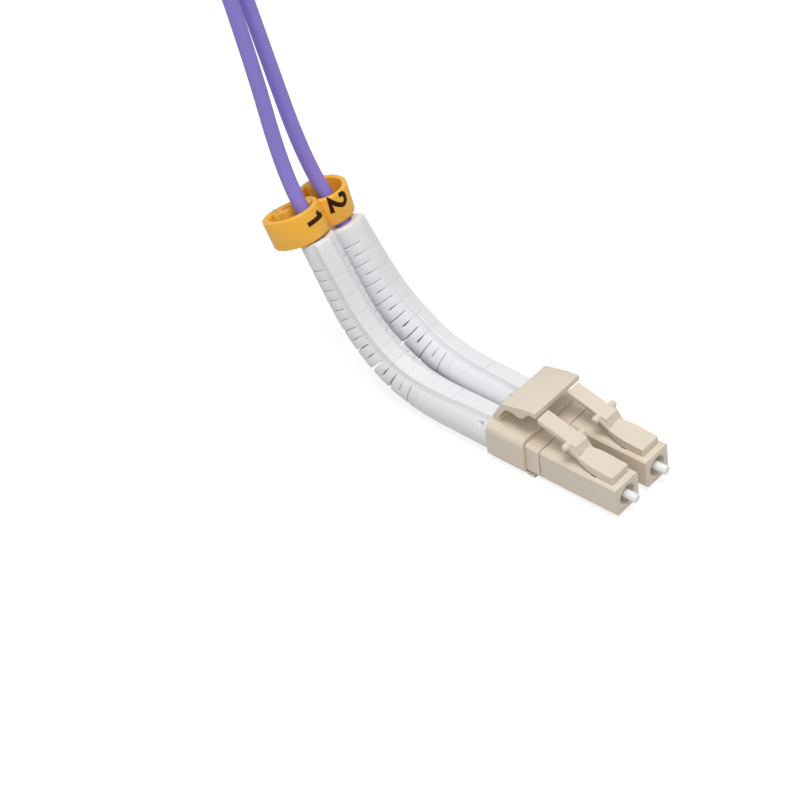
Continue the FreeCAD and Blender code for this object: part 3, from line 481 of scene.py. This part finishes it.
# Boots: a round body with a flat-topped spine, cut by turns from below and from above, and bent along
# the cord. It is built straight, as rings of points, and each point is then carried onto the route.
bootSizes = {
    "front": 5.7, "rear": 4.9, "length": 38.0, "clipFace": -0.1, "faceEdge": 0.06,
    "collar": 4.6, "collarFront": -3.25, "collarEdge": 0.1, "collarGap": 0.02,
    "sleeveBore": 3.4, "gripBore": 2.9, "cordBore": 2.5, "sleeveEnd": 0.4, "gripEnd": 2.7, "boreEdge": 0.1,
    "spineWidth": 2.4, "spineProud": 0.36, "spineEdge": 0.28, "spineFoot": 0.35, "leastFoot": 0.03,
    "dimple": 0.36, "dimpleStart": 1.3, "dimpleDepth": 0.8, "pinLength": 2.0, "pinSides": 28,
    "notch": (6.3, 6.75), "notchDepth": 0.3,
    # beside the notch: distance from it, how far under the spine's top
    "notchFront": [(0.12, 0.0), (0.03, 0.05)], "notchBack": [(0.03, 0.08), (0.2, 0.03)],
    # how far along the other rings of the neck and of its bore are
    "neckRings": [0.5, 1.0, 1.5, 2.0, 2.8, 3.6, 4.4, 5.2, 5.9], "backRings": [7.4, 8.2, 9.0, 9.8, 10.6, 11.4],
    "boreRings": [4.5, 6.5, 8.5, 10.0, 11.3],
    # points over the spine's flat, then over its foot, over a side and over the underside
    "flatShares": [0.0, 0.3, 0.58], "edgeTurns": [90, 60, 30, 0], "steps": (3, 8, 16),
    # these differ between the boots: the outward turn in degrees, what is off the end, the gapes' share
    "turns": {-1: 24.0, 1: -27.0}, "short": {-1: -0.3, 1: 0.7}, "spread": {-1: 1.0, 1: 0.32},
    "slitCount": 16, "slitStart": 12.1, "slitPitch": 1.5, "upperWeb": 2.25, "lowerWeb": 0.5, "webTaper": 0.05,
    # a cut is this wide under its web from below, and this wide from the shoulder up from above
    "slitFoot": 0.09, "slitTop": 0.02, "shoulder": 2.05,
    # how far the cuts from below gape at the underside, and those from above at their foot
    "gapes": [0.34, 0.62, 0.66, 0.35, 0.24, 0.20, 0.18, 0.17],
    "pinches": [0.07, 0.15, 0.22, 0.17, 0.15, 0.14, 0.13, 0.12],
    # a rib's rounded edge: distance from the cut, share of the rounding
    "ribRound": 0.16, "ribEdge": [(0.22, 0.0), (0.1, 0.25), (0.03, 0.6), (0.0, 1.0)], "ribShare": 0.8,
    # the rounded rear end: share of the rounding ahead, inset, how far under the spine's top
    "afterCuts": 0.7, "beforeEnd": 1.1, "endRound": 0.35,
    "endRim": [(1.0, 0.0, 0.0), (0.6, 0.04, 0.02), (0.25, 0.12, 0.06), (0.05, 0.24, 0.14), (0.0, 0.35, 0.2)],
}


def bootRadius(s):
    share = min(1.0, max(0.0, s / bootSizes["length"]))
    return (bootSizes["front"] * (1 - share) + bootSizes["rear"] * share) / 2


def halfContour(radius, proud):
    # From the spine's middle down to the boot's underside; always the same number of points.
    sizes = bootSizes
    edge = sizes["spineEdge"]
    half, top = sizes["spineWidth"] / 2, radius + proud
    points = [(half * share, top) for share in sizes["flatShares"]]
    for degrees in sizes["edgeTurns"]:
        turn = math.radians(degrees)
        points.append((half - edge + edge * math.cos(turn), top - edge + edge * math.sin(turn)))
    foot = math.asin(min(1.0, (half + sizes["spineFoot"]) / radius))
    upper = max(foot + sizes["leastFoot"], math.acos(min(1.0, sizes["upperWeb"] / radius)))
    lower = math.acos(sizes["lowerWeb"] / radius)
    turns, indices = [foot], []
    for start, end, steps in zip((foot, upper, lower), (upper, lower, math.pi), sizes["steps"]):
        turns += [start + (end - start) * i / steps for i in range(1, steps + 1)]
        indices.append(len(points) + len(turns) - 1)
    points += [(radius * math.sin(t), radius * math.cos(t)) for t in turns]
    return points, indices[0], indices[1]


def wholeContour(radius, proud=bootSizes["spineProud"]):
    points = halfContour(radius, proud)[0]
    return points + [(-y, z) for y, z in points[1:-1]][::-1]


def slitWidth(fromBelow, gape, radius):
    # How wide a cut is at a height: a cut from below gapes at its mouth, one from above at its foot.
    sizes = bootSizes

    def below(z):
        share = min(1.0, max(0.0, (sizes["upperWeb"] - z) / (sizes["upperWeb"] + radius)))
        return sizes["slitFoot"] + (gape - sizes["slitFoot"]) * share ** 1.1

    def above(z):
        share = min(1.0, max(0.0, (z - sizes["lowerWeb"]) / (sizes["shoulder"] - sizes["lowerWeb"])))
        return gape + (sizes["slitTop"] - gape) * share ** 2
    return below if fromBelow else above


class BootDrawing:
    # One boot while it is drawn; outer and inner are the last loops of its outside and its bore.
    def __init__(self, route):
        self.route = route
        self.bm = bmesh.new()
        self.count = len(wholeContour(bootRadius(0)))
        self.upperIndex, self.lowerIndex = halfContour(bootRadius(0), bootSizes["spineProud"])[1:]
        self.outer = []
        self.inner = []

    def point(self, s, y, z):
        return self.bm.verts.new(self.route.bend(s, y, z))

    def fromTop(self, i):
        return min(i, self.count - i)

    def ring(self, s, inset=0.0, proud=bootSizes["spineProud"], radius=None):
        # One loop of the outside, made smaller by the inset.
        radius = (bootRadius(s) if radius is None else radius) - inset
        return [self.point(s, y, z) for y, z in wholeContour(radius, proud)]

    def bore(self, s, radius, shift=lambda z: 0.0):
        loop = []
        for y, z in wholeContour(bootRadius(s)):
            reach = math.hypot(y, z)
            y, z = y / reach * radius, z / reach * radius
            loop.append(self.point(s + shift(z), y, z))
        return loop

    def skin(self, one, other, keep=lambda i: True):
        for i in range(self.count):
            j = (i + 1) % self.count
            if keep(i) and keep(j):
                self.bm.faces.new((one[i], one[j], other[j], other[i]))

    def growOuter(self, loop):
        self.skin(self.outer, loop)
        self.outer = loop

    def growInner(self, loop):
        self.skin(loop, self.inner)
        self.inner = loop

    def collar(self):
        sizes = bootSizes
        front, radius = sizes["collarFront"], sizes["collar"] / 2
        self.outer = self.ring(front, proud=0.0, radius=radius - sizes["collarEdge"])
        self.inner = self.bore(front, sizes["sleeveBore"] / 2)
        self.skin(self.inner, self.outer)
        for s in (front + sizes["collarEdge"], sizes["clipFace"] - sizes["collarGap"]):
            self.growOuter(self.ring(s, proud=0.0, radius=radius))

    def neck(self):
        # From the clip to the first cut, with the notch across the spine.
        sizes = bootSizes
        high, edge = sizes["spineProud"], sizes["faceEdge"]
        start, stop = sizes["notch"]
        low = high - sizes["notchDepth"]
        self.growOuter(self.ring(sizes["clipFace"], edge, high - edge))
        stations = [(s, high) for s in [sizes["clipFace"] + edge] + sizes["neckRings"]]
        stations += [(start - ahead, high - under) for ahead, under in sizes["notchFront"]]
        stations += [(start, low), (stop, low)]
        stations += [(stop + past, high - under) for past, under in sizes["notchBack"]]
        stations += [(s, high) for s in sizes["backRings"]]
        for s, proud in stations:
            self.growOuter(self.ring(s, proud=proud))
        steps = [(sizes["sleeveEnd"], "sleeveBore"), (sizes["sleeveEnd"], "gripBore"),
                 (sizes["gripEnd"], "gripBore"), (sizes["gripEnd"], "cordBore")]
        for s, word in steps + [(s, "cordBore") for s in sizes["boreRings"]]:
            self.growInner(self.bore(s, sizes[word] / 2))

    def slitSides(self, before, after, bores, keep):
        # Both sides of a cut, from the bore out to the given loops.
        for i in range(self.count):
            j = (i + 1) % self.count
            if keep(i, j):
                self.bm.faces.new((before[i], before[j], bores[0][j], bores[0][i]))
                self.bm.faces.new((after[j], after[i], bores[1][i], bores[1][j]))

    def slitFloor(self, loop, s, way, width):
        # Where one side of a cut from below ends under its web.
        floor = []
        for i, (y, z) in enumerate(wholeContour(bootRadius(s))):
            inward = self.upperIndex - self.fromTop(i)
            if inward > 0:
                level = min(z - bootSizes["webTaper"] * inward, bootSizes["upperWeb"])
                floor.append(self.point(s + way * width(level) / 2, y, level))
            else:
                floor.append(loop[i])
        return floor

    def cut(self, index):
        # The cuts from below leave a web under the spine, and those from above one at the underside.
        sizes = bootSizes
        s = sizes["slitStart"] + index * sizes["slitPitch"]
        fromBelow = index % 2 == 1
        gape = (sizes["gapes"] if fromBelow else sizes["pinches"])[index // 2]
        gape *= sizes["spread"][self.route.side] if fromBelow else 1.0
        width = slitWidth(fromBelow, gape, bootRadius(s))

        def web(i):
            return self.fromTop(i) <= self.upperIndex if fromBelow else self.fromTop(i) >= self.lowerIndex

        sides, bores = [], []
        for way in (-1, 1):
            loops = []
            for away, inset in sizes["ribEdge"]:
                loop = []
                for i, (y, z) in enumerate(wholeContour(bootRadius(s))):
                    gap = width(z)
                    depth = 0.0 if web(i) else inset * min(sizes["ribRound"], gap * sizes["ribShare"])
                    share = 1 - depth / math.hypot(y, z)
                    loop.append(self.point(s + way * (gap / 2 + away), y * share, z * share))
                loops.append(loop)
            sides.append(loops)
            bores.append(self.bore(s, sizes["cordBore"] / 2, lambda z, way=way: way * width(z) / 2))
        before, after = sides[0], sides[1][::-1]
        for loop in before:
            self.growOuter(loop)
        self.skin(before[-1], after[0], web)
        self.outer = after[0]
        for loop in after[1:]:
            self.growOuter(loop)
        self.growInner(bores[0])
        self.inner = bores[1]
        self.slitSides(before[-1], after[0], bores, lambda i, j: not (web(i) and web(j)))
        if fromBelow:
            floors = [self.slitFloor(loop, s, way, width) for loop, way in ((before[-1], -1), (after[0], 1))]
            self.skin(floors[1], floors[0], web)
            self.slitSides(floors[0], floors[1], bores, lambda i, j: web(i) and web(j))
        else:
            self.skin(bores[1], bores[0], web)
            for i, order in ((self.lowerIndex, 1), (self.count - self.lowerIndex, -1)):
                corners = (before[-1][i], bores[0][i], bores[1][i], after[0][i])
                self.bm.faces.new(corners[::order])

    def rearEnd(self):
        sizes = bootSizes
        high = sizes["spineProud"]
        end = sizes["length"] - sizes["short"][self.route.side]
        last = sizes["slitStart"] + sizes["slitCount"] * sizes["slitPitch"]
        for s in (last - sizes["afterCuts"], end - sizes["beforeEnd"]):
            self.growOuter(self.ring(s))
        for share, inset, under in sizes["endRim"]:
            self.growOuter(self.ring(end - sizes["endRound"] * share, inset, high - under))
        for s, wider in ((end - sizes["boreEdge"], 0.0), (end, sizes["boreEdge"])):
            self.growInner(self.bore(s, sizes["cordBore"] / 2 + wider))
        self.skin(self.outer, self.inner)


def bootMesh(route):
    drawing = BootDrawing(route)
    drawing.collar()
    drawing.neck()
    for index in range(bootSizes["slitCount"]):
        drawing.cut(index)
    drawing.rearEnd()
    return meshFrom(drawing.bm, "boot", recalc=True)


def dimpleCutter(route):
    # A short pin into the boot beside its spine, just behind the clip.
    sizes = bootSizes
    spot, along, across, above = route.at(sizes["dimpleStart"])
    slant = (across + above).normalized()
    pin = sizes["pinLength"]
    middle = Matrix.Translation(spot + slant * (sizes["front"] / 2 - sizes["dimpleDepth"] + pin / 2))
    bm = bmesh.new()
    bmesh.ops.create_cone(bm, cap_ends=True, segments=sizes["pinSides"], radius1=sizes["dimple"],
                          radius2=sizes["dimple"], depth=pin,
                          matrix=middle @ slant.to_track_quat("Z", "Y").to_matrix().to_4x4())
    return meshFrom(bm, "dimple", recalc=True)


bootShapes = {side: combined(bootMesh(route), dimpleCutter(route), "DIFFERENCE")
              for side, route in routes.items()}
for place in channels:
    setPiece(place.name("Boot"), bootShapes[place.side], place, (0, 0, 0), "body",
             finishes["bootPlastic"], [place.name("boot")])
print("boots made: %d and %d faces" % tuple(len(shape.polygons) for shape in bootShapes.values()))


# The steel wires that hold the boots' bend.
wireSizes = {"radius": 0.45, "lift": 1.55, "start": 4.0, "end": 36.4, "sides": 16, "step": 0.5}


def wireTree():
    # A round rod along a line.
    tree = bpy.data.node_groups.new("roundRod", "GeometryNodeTree")
    for word, kind in (("Line", "NodeSocketGeometry"), ("Radius", "NodeSocketFloat"),
                       ("Sides", "NodeSocketInt"), ("Material", "NodeSocketMaterial")):
        tree.interface.new_socket(word, in_out="INPUT", socket_type=kind)
    tree.interface.new_socket("Rod", in_out="OUTPUT", socket_type="NodeSocketGeometry")
    given, out = tree.nodes.new("NodeGroupInput"), tree.nodes.new("NodeGroupOutput")
    rim = addNode(tree, "GeometryNodeCurvePrimitiveCircle", mode="RADIUS")
    rod = addNode(tree, "GeometryNodeCurveToMesh", [("Fill Caps", True)])
    real = tree.nodes.new("GeometryNodeRealizeInstances")
    coloured = tree.nodes.new("GeometryNodeSetMaterial")
    for start, end in ((given.outputs["Line"], rod.inputs["Curve"]),
                       (given.outputs["Radius"], rim.inputs["Radius"]),
                       (given.outputs["Sides"], rim.inputs["Resolution"]),
                       (rim.outputs["Curve"], rod.inputs["Profile Curve"]),
                       (rod.outputs["Mesh"], real.inputs[0]),
                       (real.outputs[0], coloured.inputs["Geometry"]),
                       (given.outputs["Material"], coloured.inputs["Material"]),
                       (coloured.outputs["Geometry"], out.inputs["Rod"])):
        tree.links.new(start, end)
    return tree


roundRod = wireTree()


def wireMesh(route):
    sizes = wireSizes
    steps = int((sizes["end"] - sizes["start"]) / sizes["step"])
    curve = bpy.data.curves.new("wire", "CURVE")
    curve.dimensions = "3D"
    spline = curve.splines.new("POLY")
    spline.points.add(steps)
    for i, point in enumerate(spline.points):
        s = sizes["start"] + (sizes["end"] - sizes["start"]) * i / steps
        point.co = (*route.bend(s, 0.0, sizes["lift"]), 1)
    holder = linked("wire", curve)
    maker = holder.modifiers.new("rod", "NODES")
    maker.node_group = roundRod
    values = {"Radius": sizes["radius"], "Sides": sizes["sides"], "Material": finishes["wireSteel"]}
    for socket in roundRod.interface.items_tree:
        if socket.name in values:
            maker[socket.identifier] = values[socket.name]
    mesh = evaluatedMesh(holder)
    for face in mesh.polygons:
        face.use_smooth = len(face.vertices) == 4
    return mesh


wireShapes = {side: wireMesh(route) for side, route in routes.items()}
for place in channels:
    setPiece(place.name("BootWire"), wireShapes[place.side], place, (0, 0, 0), "body",
             finishes["wireSteel"], [place.name("boot_wire")])
print("wires made: %d faces each" % len(wireShapes[1].polygons))


# Marker rings: an open band with a hooked end, hung on the cord behind the boot, and its number.
ringSizes = {
    "outer": 6.9, "wall": 0.75, "length": 4.25, "edge": 0.25, "gap": 16.0,
    "hook": 0.95, "hookTurn": 200.0, "fold": 0.5, "foldTurn": 165.0, "foldLeg": 0.9,
    "hookSteps": 18, "foldSteps": 16, "legShares": (1.0, 0.66, 0.33), "bandSteps": 72, "edgeSteps": 3,
    # how far each end is rounded, and the last wall's share in thickness and in length
    "tipRound": 0.12, "tipShare": 0.72, "tipLength": 0.9664,
    # behind the boot's end, between the two axes, and under the cord's
    "starts": {1: 0.45, 2: 1.2}, "spacing": 7.0, "hang": 1.5,
    # the first ring is pulled wide, and both have slipped askew: a level lean and a nod, in degrees
    "stretch": 0.34, "stretchTurn": 58.0, "leans": {1: (-2.0, 6.0), 2: (-17.0, 14.0)},
    "levelAxis": (0.53, -0.52, 0.67), "nodAxis": (0.76, 0.65, -0.09),
}
digitSizes = {
    "heights": {1: 3.1, 2: 3.3}, "stroke": 0.64, "turns": {1: -10.0, 2: -3.0}, "shifts": {1: 0.3, 2: 0.95},
    "inkDeep": 0.04, "inkProud": 0.02, "overlap": 0.004, "step": 0.15, "sharpest": 0.45, "startCap": 0.6,
    # strokes, each a line of right and up in the digit's own height
    "lines": {
        1: [[(-0.02, 0.5), (-0.02, -0.5)], [(-0.28, 0.24), (-0.04, 0.4)]],
        2: [[(-0.3, 0.2), (-0.29, 0.33), (-0.2, 0.45), (-0.03, 0.5), (0.15, 0.46), (0.26, 0.34), (0.27, 0.2),
             (0.2, 0.04), (0.04, -0.16), (-0.16, -0.34), (-0.3, -0.44), (0.32, -0.44)]],
    },
}


def ringFrame(place):
    # The ring's own frame: X along the cord away from the connector, Z on the spine's side.
    sizes = ringSizes
    lead = bootSizes["length"] - bootSizes["short"][place.side] + sizes["starts"][place.number]
    spot, along, across, above = routes[place.side].at(lead + sizes["length"] / 2)
    beside = Vector((0, place.side * (sizes["spacing"] / 2 - layout["halfPitch"]), 0))
    level, nod = [math.radians(angle) for angle in sizes["leans"][place.number]]
    leant = Matrix.Rotation(level, 4, sizes["levelAxis"]) @ Matrix.Rotation(nod, 4, sizes["nodAxis"])
    straight = Matrix((along, across, above)).transposed().to_4x4()
    return Matrix.Translation(spot - above * sizes["hang"] + beside) @ leant @ straight


def pullWide(mesh, place):
    # The first ring's outward side, slanting away from the spine.
    slant = math.radians(ringSizes["stretchTurn"])
    pull = Vector((0, -place.side * math.cos(slant), -math.sin(slant)))
    for vert in mesh.vertices:
        vert.co += pull * max(0.0, vert.co.dot(pull)) * ringSizes["stretch"]


def onArc(centre, radius, degrees):
    # A spot of the band's middle line, with the way it faces.
    turn = math.radians(degrees)
    return centre[0] + radius * math.cos(turn), centre[1] + radius * math.sin(turn), turn


def bandLine():
    # From the folded end, round the cord, to the hooked end.
    sizes = ringSizes
    radius = (sizes["outer"] - sizes["wall"]) / 2
    fold, foldTurn, foldSteps = sizes["fold"], sizes["foldTurn"], sizes["foldSteps"]
    hook, hookTurn, hookSteps = sizes["hook"], sizes["hookTurn"], sizes["hookSteps"]
    steps = sizes["bandSteps"]
    start, end = -90 + sizes["gap"] / 2, 270 - sizes["gap"] / 2
    foldCentre = onArc((0, 0), radius - fold, start)
    hookCentre = onArc((0, 0), radius - hook, end)
    y, z, turn = onArc(foldCentre, fold, start - foldTurn)
    legs = [sizes["foldLeg"] * share for share in sizes["legShares"]]
    line = [(y + math.sin(turn) * leg, z - math.cos(turn) * leg, turn) for leg in legs]
    line += [onArc(foldCentre, fold, start - foldTurn * (1 - i / foldSteps)) for i in range(foldSteps)]
    line += [onArc((0, 0), radius, start + (end - start) * i / steps) for i in range(steps + 1)]
    line += [onArc(hookCentre, hook, end + hookTurn * i / hookSteps) for i in range(1, hookSteps + 1)]
    return line


def bandSection():
    # The wall's rounded section: outward, and along the cord.
    sizes = ringSizes
    edge, steps = sizes["edge"], sizes["edgeSteps"]
    section = []
    for u, v, first in ((1, 1, 0), (-1, 1, 90), (-1, -1, 180), (1, -1, 270)):
        for i in range(steps + 1):
            turn = math.radians(first + 90 * i / steps)
            section.append((u * (sizes["wall"] / 2 - edge) + edge * math.cos(turn),
                            v * (sizes["length"] / 2 - edge) + edge * math.sin(turn)))
    return section


def ringBand():
    tip, ending = ringSizes["tipRound"], (ringSizes["tipShare"], ringSizes["tipLength"])
    line, section = bandLine(), bandSection()
    bm = bmesh.new()
    loops = []
    spots = [(line[0], -tip, ending)] + [(spot, 0.0, (1.0, 1.0)) for spot in line] + [(line[-1], tip, ending)]
    for (y, z, turn), ahead, (thick, long) in spots:
        loop = []
        for out, along in section:
            out *= thick
            loop.append(bm.verts.new((along * long, y + math.cos(turn) * out - math.sin(turn) * ahead,
                                      z + math.sin(turn) * out + math.cos(turn) * ahead)))
        loops.append(loop)
    loft(bm, loops)
    return meshFrom(bm, "ring", recalc=True)


def strokeSides(line, height):
    # Both sides of one mitred stroke, in millimetres.
    sizes = digitSizes
    half = sizes["stroke"] / 2
    spots = [Vector((x, y)) * (height - sizes["stroke"]) for x, y in line]
    spots[0] += (spots[0] - spots[1]).normalized() * half * sizes["startCap"]
    spots[-1] += (spots[-1] - spots[-2]).normalized() * half
    sides = []
    for i, spot in enumerate(spots):
        before = (spot - spots[i - 1]).normalized() if i else None
        after = (spots[i + 1] - spot).normalized() if i + 1 < len(spots) else None
        before, after = before or after, after or before
        one, other = Vector((-before.y, before.x)), Vector((-after.y, after.x))
        mitre = (one + other).normalized()
        mitre *= half / max(sizes["sharpest"], mitre.dot(one))
        sides.append((spot + mitre, spot - mitre))
    return sides


def addStroke(bm, number, line, proud):
    # One stroke of ink, wrapped round the band's outside.
    sizes = digitSizes
    outer, deep = ringSizes["outer"] / 2, -sizes["inkDeep"]
    sides = strokeSides(line, sizes["heights"][number])
    rows = []
    for (left, right), (nextLeft, nextRight) in zip(sides, sides[1:]):
        steps = max(1, round((nextLeft - left).length / sizes["step"]))
        rows += [(left.lerp(nextLeft, i / steps), right.lerp(nextRight, i / steps)) for i in range(steps)]
    rows.append(sides[-1])
    loops = []
    for left, right in rows:
        loop = []
        for spot, level in ((left, proud), (right, proud), (right, deep), (left, deep)):
            # right goes towards the connector, up goes round the ring towards +Y
            turn = math.radians(sizes["turns"][number]) - spot.y / outer
            reach = outer + level
            loop.append(bm.verts.new((sizes["shifts"][number] - spot.x, reach * math.sin(turn),
                                      reach * math.cos(turn))))
        loops.append(loop)
    loft(bm, loops)


def ringNumber(number):
    bm = bmesh.new()
    for i, line in enumerate(digitSizes["lines"][number]):
        addStroke(bm, number, line, digitSizes["inkProud"] + digitSizes["overlap"] * i)
    return meshFrom(bm, "number", recalc=True)


band = ringBand()
numbers = {number: ringNumber(number) for number in (1, 2)}
for place in channels:
    for word, source, finish in (("MarkerRing", band, "ringPlastic"),
                                 ("RingNumber", numbers[place.number], "ringInk")):
        mesh = source.copy()
        if place.number == 1:
            pullWide(mesh, place)
        mesh.transform(ringFrame(place))
        setPiece(place.name(word), mesh, place, (0, 0, 0), "body", finishes[finish],
                 [place.name("marker_ring")])
print("marker rings made")


# The cords themselves; for each cord the far pieces that go with its other end are listed, but the list is
# not used.
for number, side in ((1, -1), (2, 1)):
    piece = linked("Cord_%d" % number, cordCurve("Cord_%d" % number, side))
    piece.data.materials.append(finishes["cordJacket"])
    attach(piece, "body")
    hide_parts("cord_%d" % number)
    farPlace = channels[1 + number]
    carried = [farPlace.name(word) for word in ("PlugHousing", "Latch", "RearBody", "Boot", "BootWire",
                                                "MarkerRing", "RingNumber", "ferrule", "ferrule_flange",
                                                "ferrule_spring", "fibre_buffer", "crimp_sleeve")]
    if number == 1:
        carried += ["far_DuplexClip", "far_ClipTrigger"]
print("cords made")


# Floor, light and camera.
stage = {
    "floor": 3.0, "floorDrop": 0.00005, "floorColor": 0.7, "floorShown": 0.36, "lift": 0.78,
    "skyLow": 0.24, "skyHigh": 0.6,
    # towards the lamp, strength, spread in degrees
    "lamps": {"Key": ((0.1, -0.12, 1.0), 1.65, 30.0), "Fill": ((0.53, -0.52, 0.67), 0.22, 25.0)},
    "lens": 140.4, "eye": (0.198555, -0.219808, 0.279278),
    "right": (0.75738, 0.64615, -0.09412), "up": (-0.38563, 0.55896, 0.73409),
    "back": (0.52684, -0.51968, 0.67256),
}


def makeFloor():
    bm = bmesh.new()
    half, low = stage["floor"] / 2, -stage["floorDrop"]
    corners = ((-half, -half, low), (half, -half, low), (half, half, low), (-half, half, low))
    bm.faces.new([bm.verts.new(corner) for corner in corners])
    mesh = bpy.data.meshes.new("floor")
    bm.to_mesh(mesh)
    bm.free()
    floor = linked("Floor", mesh)
    material = bpy.data.materials.new("floorPaper")
    material.use_nodes = True
    tree = material.node_tree
    principled = tree.nodes["Principled BSDF"]
    shown = addNode(tree, "ShaderNodeMapRange",
                    [("To Min", stage["floorColor"]), ("To Max", stage["floorShown"])])
    principled.inputs["Roughness"].default_value = 1.0
    principled.inputs["Specular IOR Level"].default_value = 0.0
    seen = addNode(tree, "ShaderNodeLightPath")
    glow = addNode(tree, "ShaderNodeMath", [(1, stage["lift"])], operation="MULTIPLY")
    tree.links.new(seen.outputs["Is Camera Ray"], glow.inputs[0])
    tree.links.new(seen.outputs["Is Camera Ray"], shown.inputs["Value"])
    tree.links.new(shown.outputs["Result"], principled.inputs["Base Color"])
    principled.inputs["Emission Color"].default_value = (1, 1, 1, 1)
    tree.links.new(glow.outputs[0], principled.inputs["Emission Strength"])
    mesh.materials.append(material)


def makeLight():
    world = bpy.data.worlds.new("studio")
    bpy.context.scene.world = world
    world.use_nodes = True
    tree = world.node_tree
    background = tree.nodes["Background"]
    seen = addNode(tree, "ShaderNodeLightPath")
    clear = addNode(tree, "ShaderNodeMath", operation="MAXIMUM")
    tree.links.new(seen.outputs["Is Camera Ray"], clear.inputs[0])
    tree.links.new(seen.outputs["Is Transmission Ray"], clear.inputs[1])
    strength = addNode(tree, "ShaderNodeMapRange", [("To Max", 1.0)])
    tree.links.new(clear.outputs[0], strength.inputs["Value"])
    height = addNode(tree, "ShaderNodeSeparateXYZ")
    tree.links.new(addNode(tree, "ShaderNodeTexCoord").outputs["Generated"], height.inputs[0])
    sky = addNode(tree, "ShaderNodeMapRange", [("To Min", stage["skyLow"]), ("To Max", stage["skyHigh"])])
    tree.links.new(height.outputs["Z"], sky.inputs["Value"])
    tree.links.new(sky.outputs["Result"], strength.inputs["To Min"])
    background.inputs["Color"].default_value = (1, 1, 1, 1)
    tree.links.new(strength.outputs["Result"], background.inputs["Strength"])
    for name, (towards, power, spread) in stage["lamps"].items():
        lamp = bpy.data.lights.new(name, "SUN")
        lamp.energy = power
        lamp.angle = math.radians(spread)
        linked(name, lamp).rotation_euler = Vector(towards).to_track_quat("Z", "Y").to_euler()


def makeCamera():
    lens = bpy.data.cameras.new("camera")
    lens.lens = stage["lens"]
    lens.sensor_width = 36.0
    lens.clip_start = 0.01
    lens.clip_end = 20.0
    camera = linked("Camera", lens)
    turned = Matrix((stage["right"], stage["up"], stage["back"])).transposed().to_4x4()
    camera.matrix_world = Matrix.Translation(stage["eye"]) @ turned
    bpy.context.scene.camera = camera


makeFloor()
makeLight()
makeCamera()
bpy.context.scene.view_settings.view_transform = "Standard"
print("floor, light and camera made")
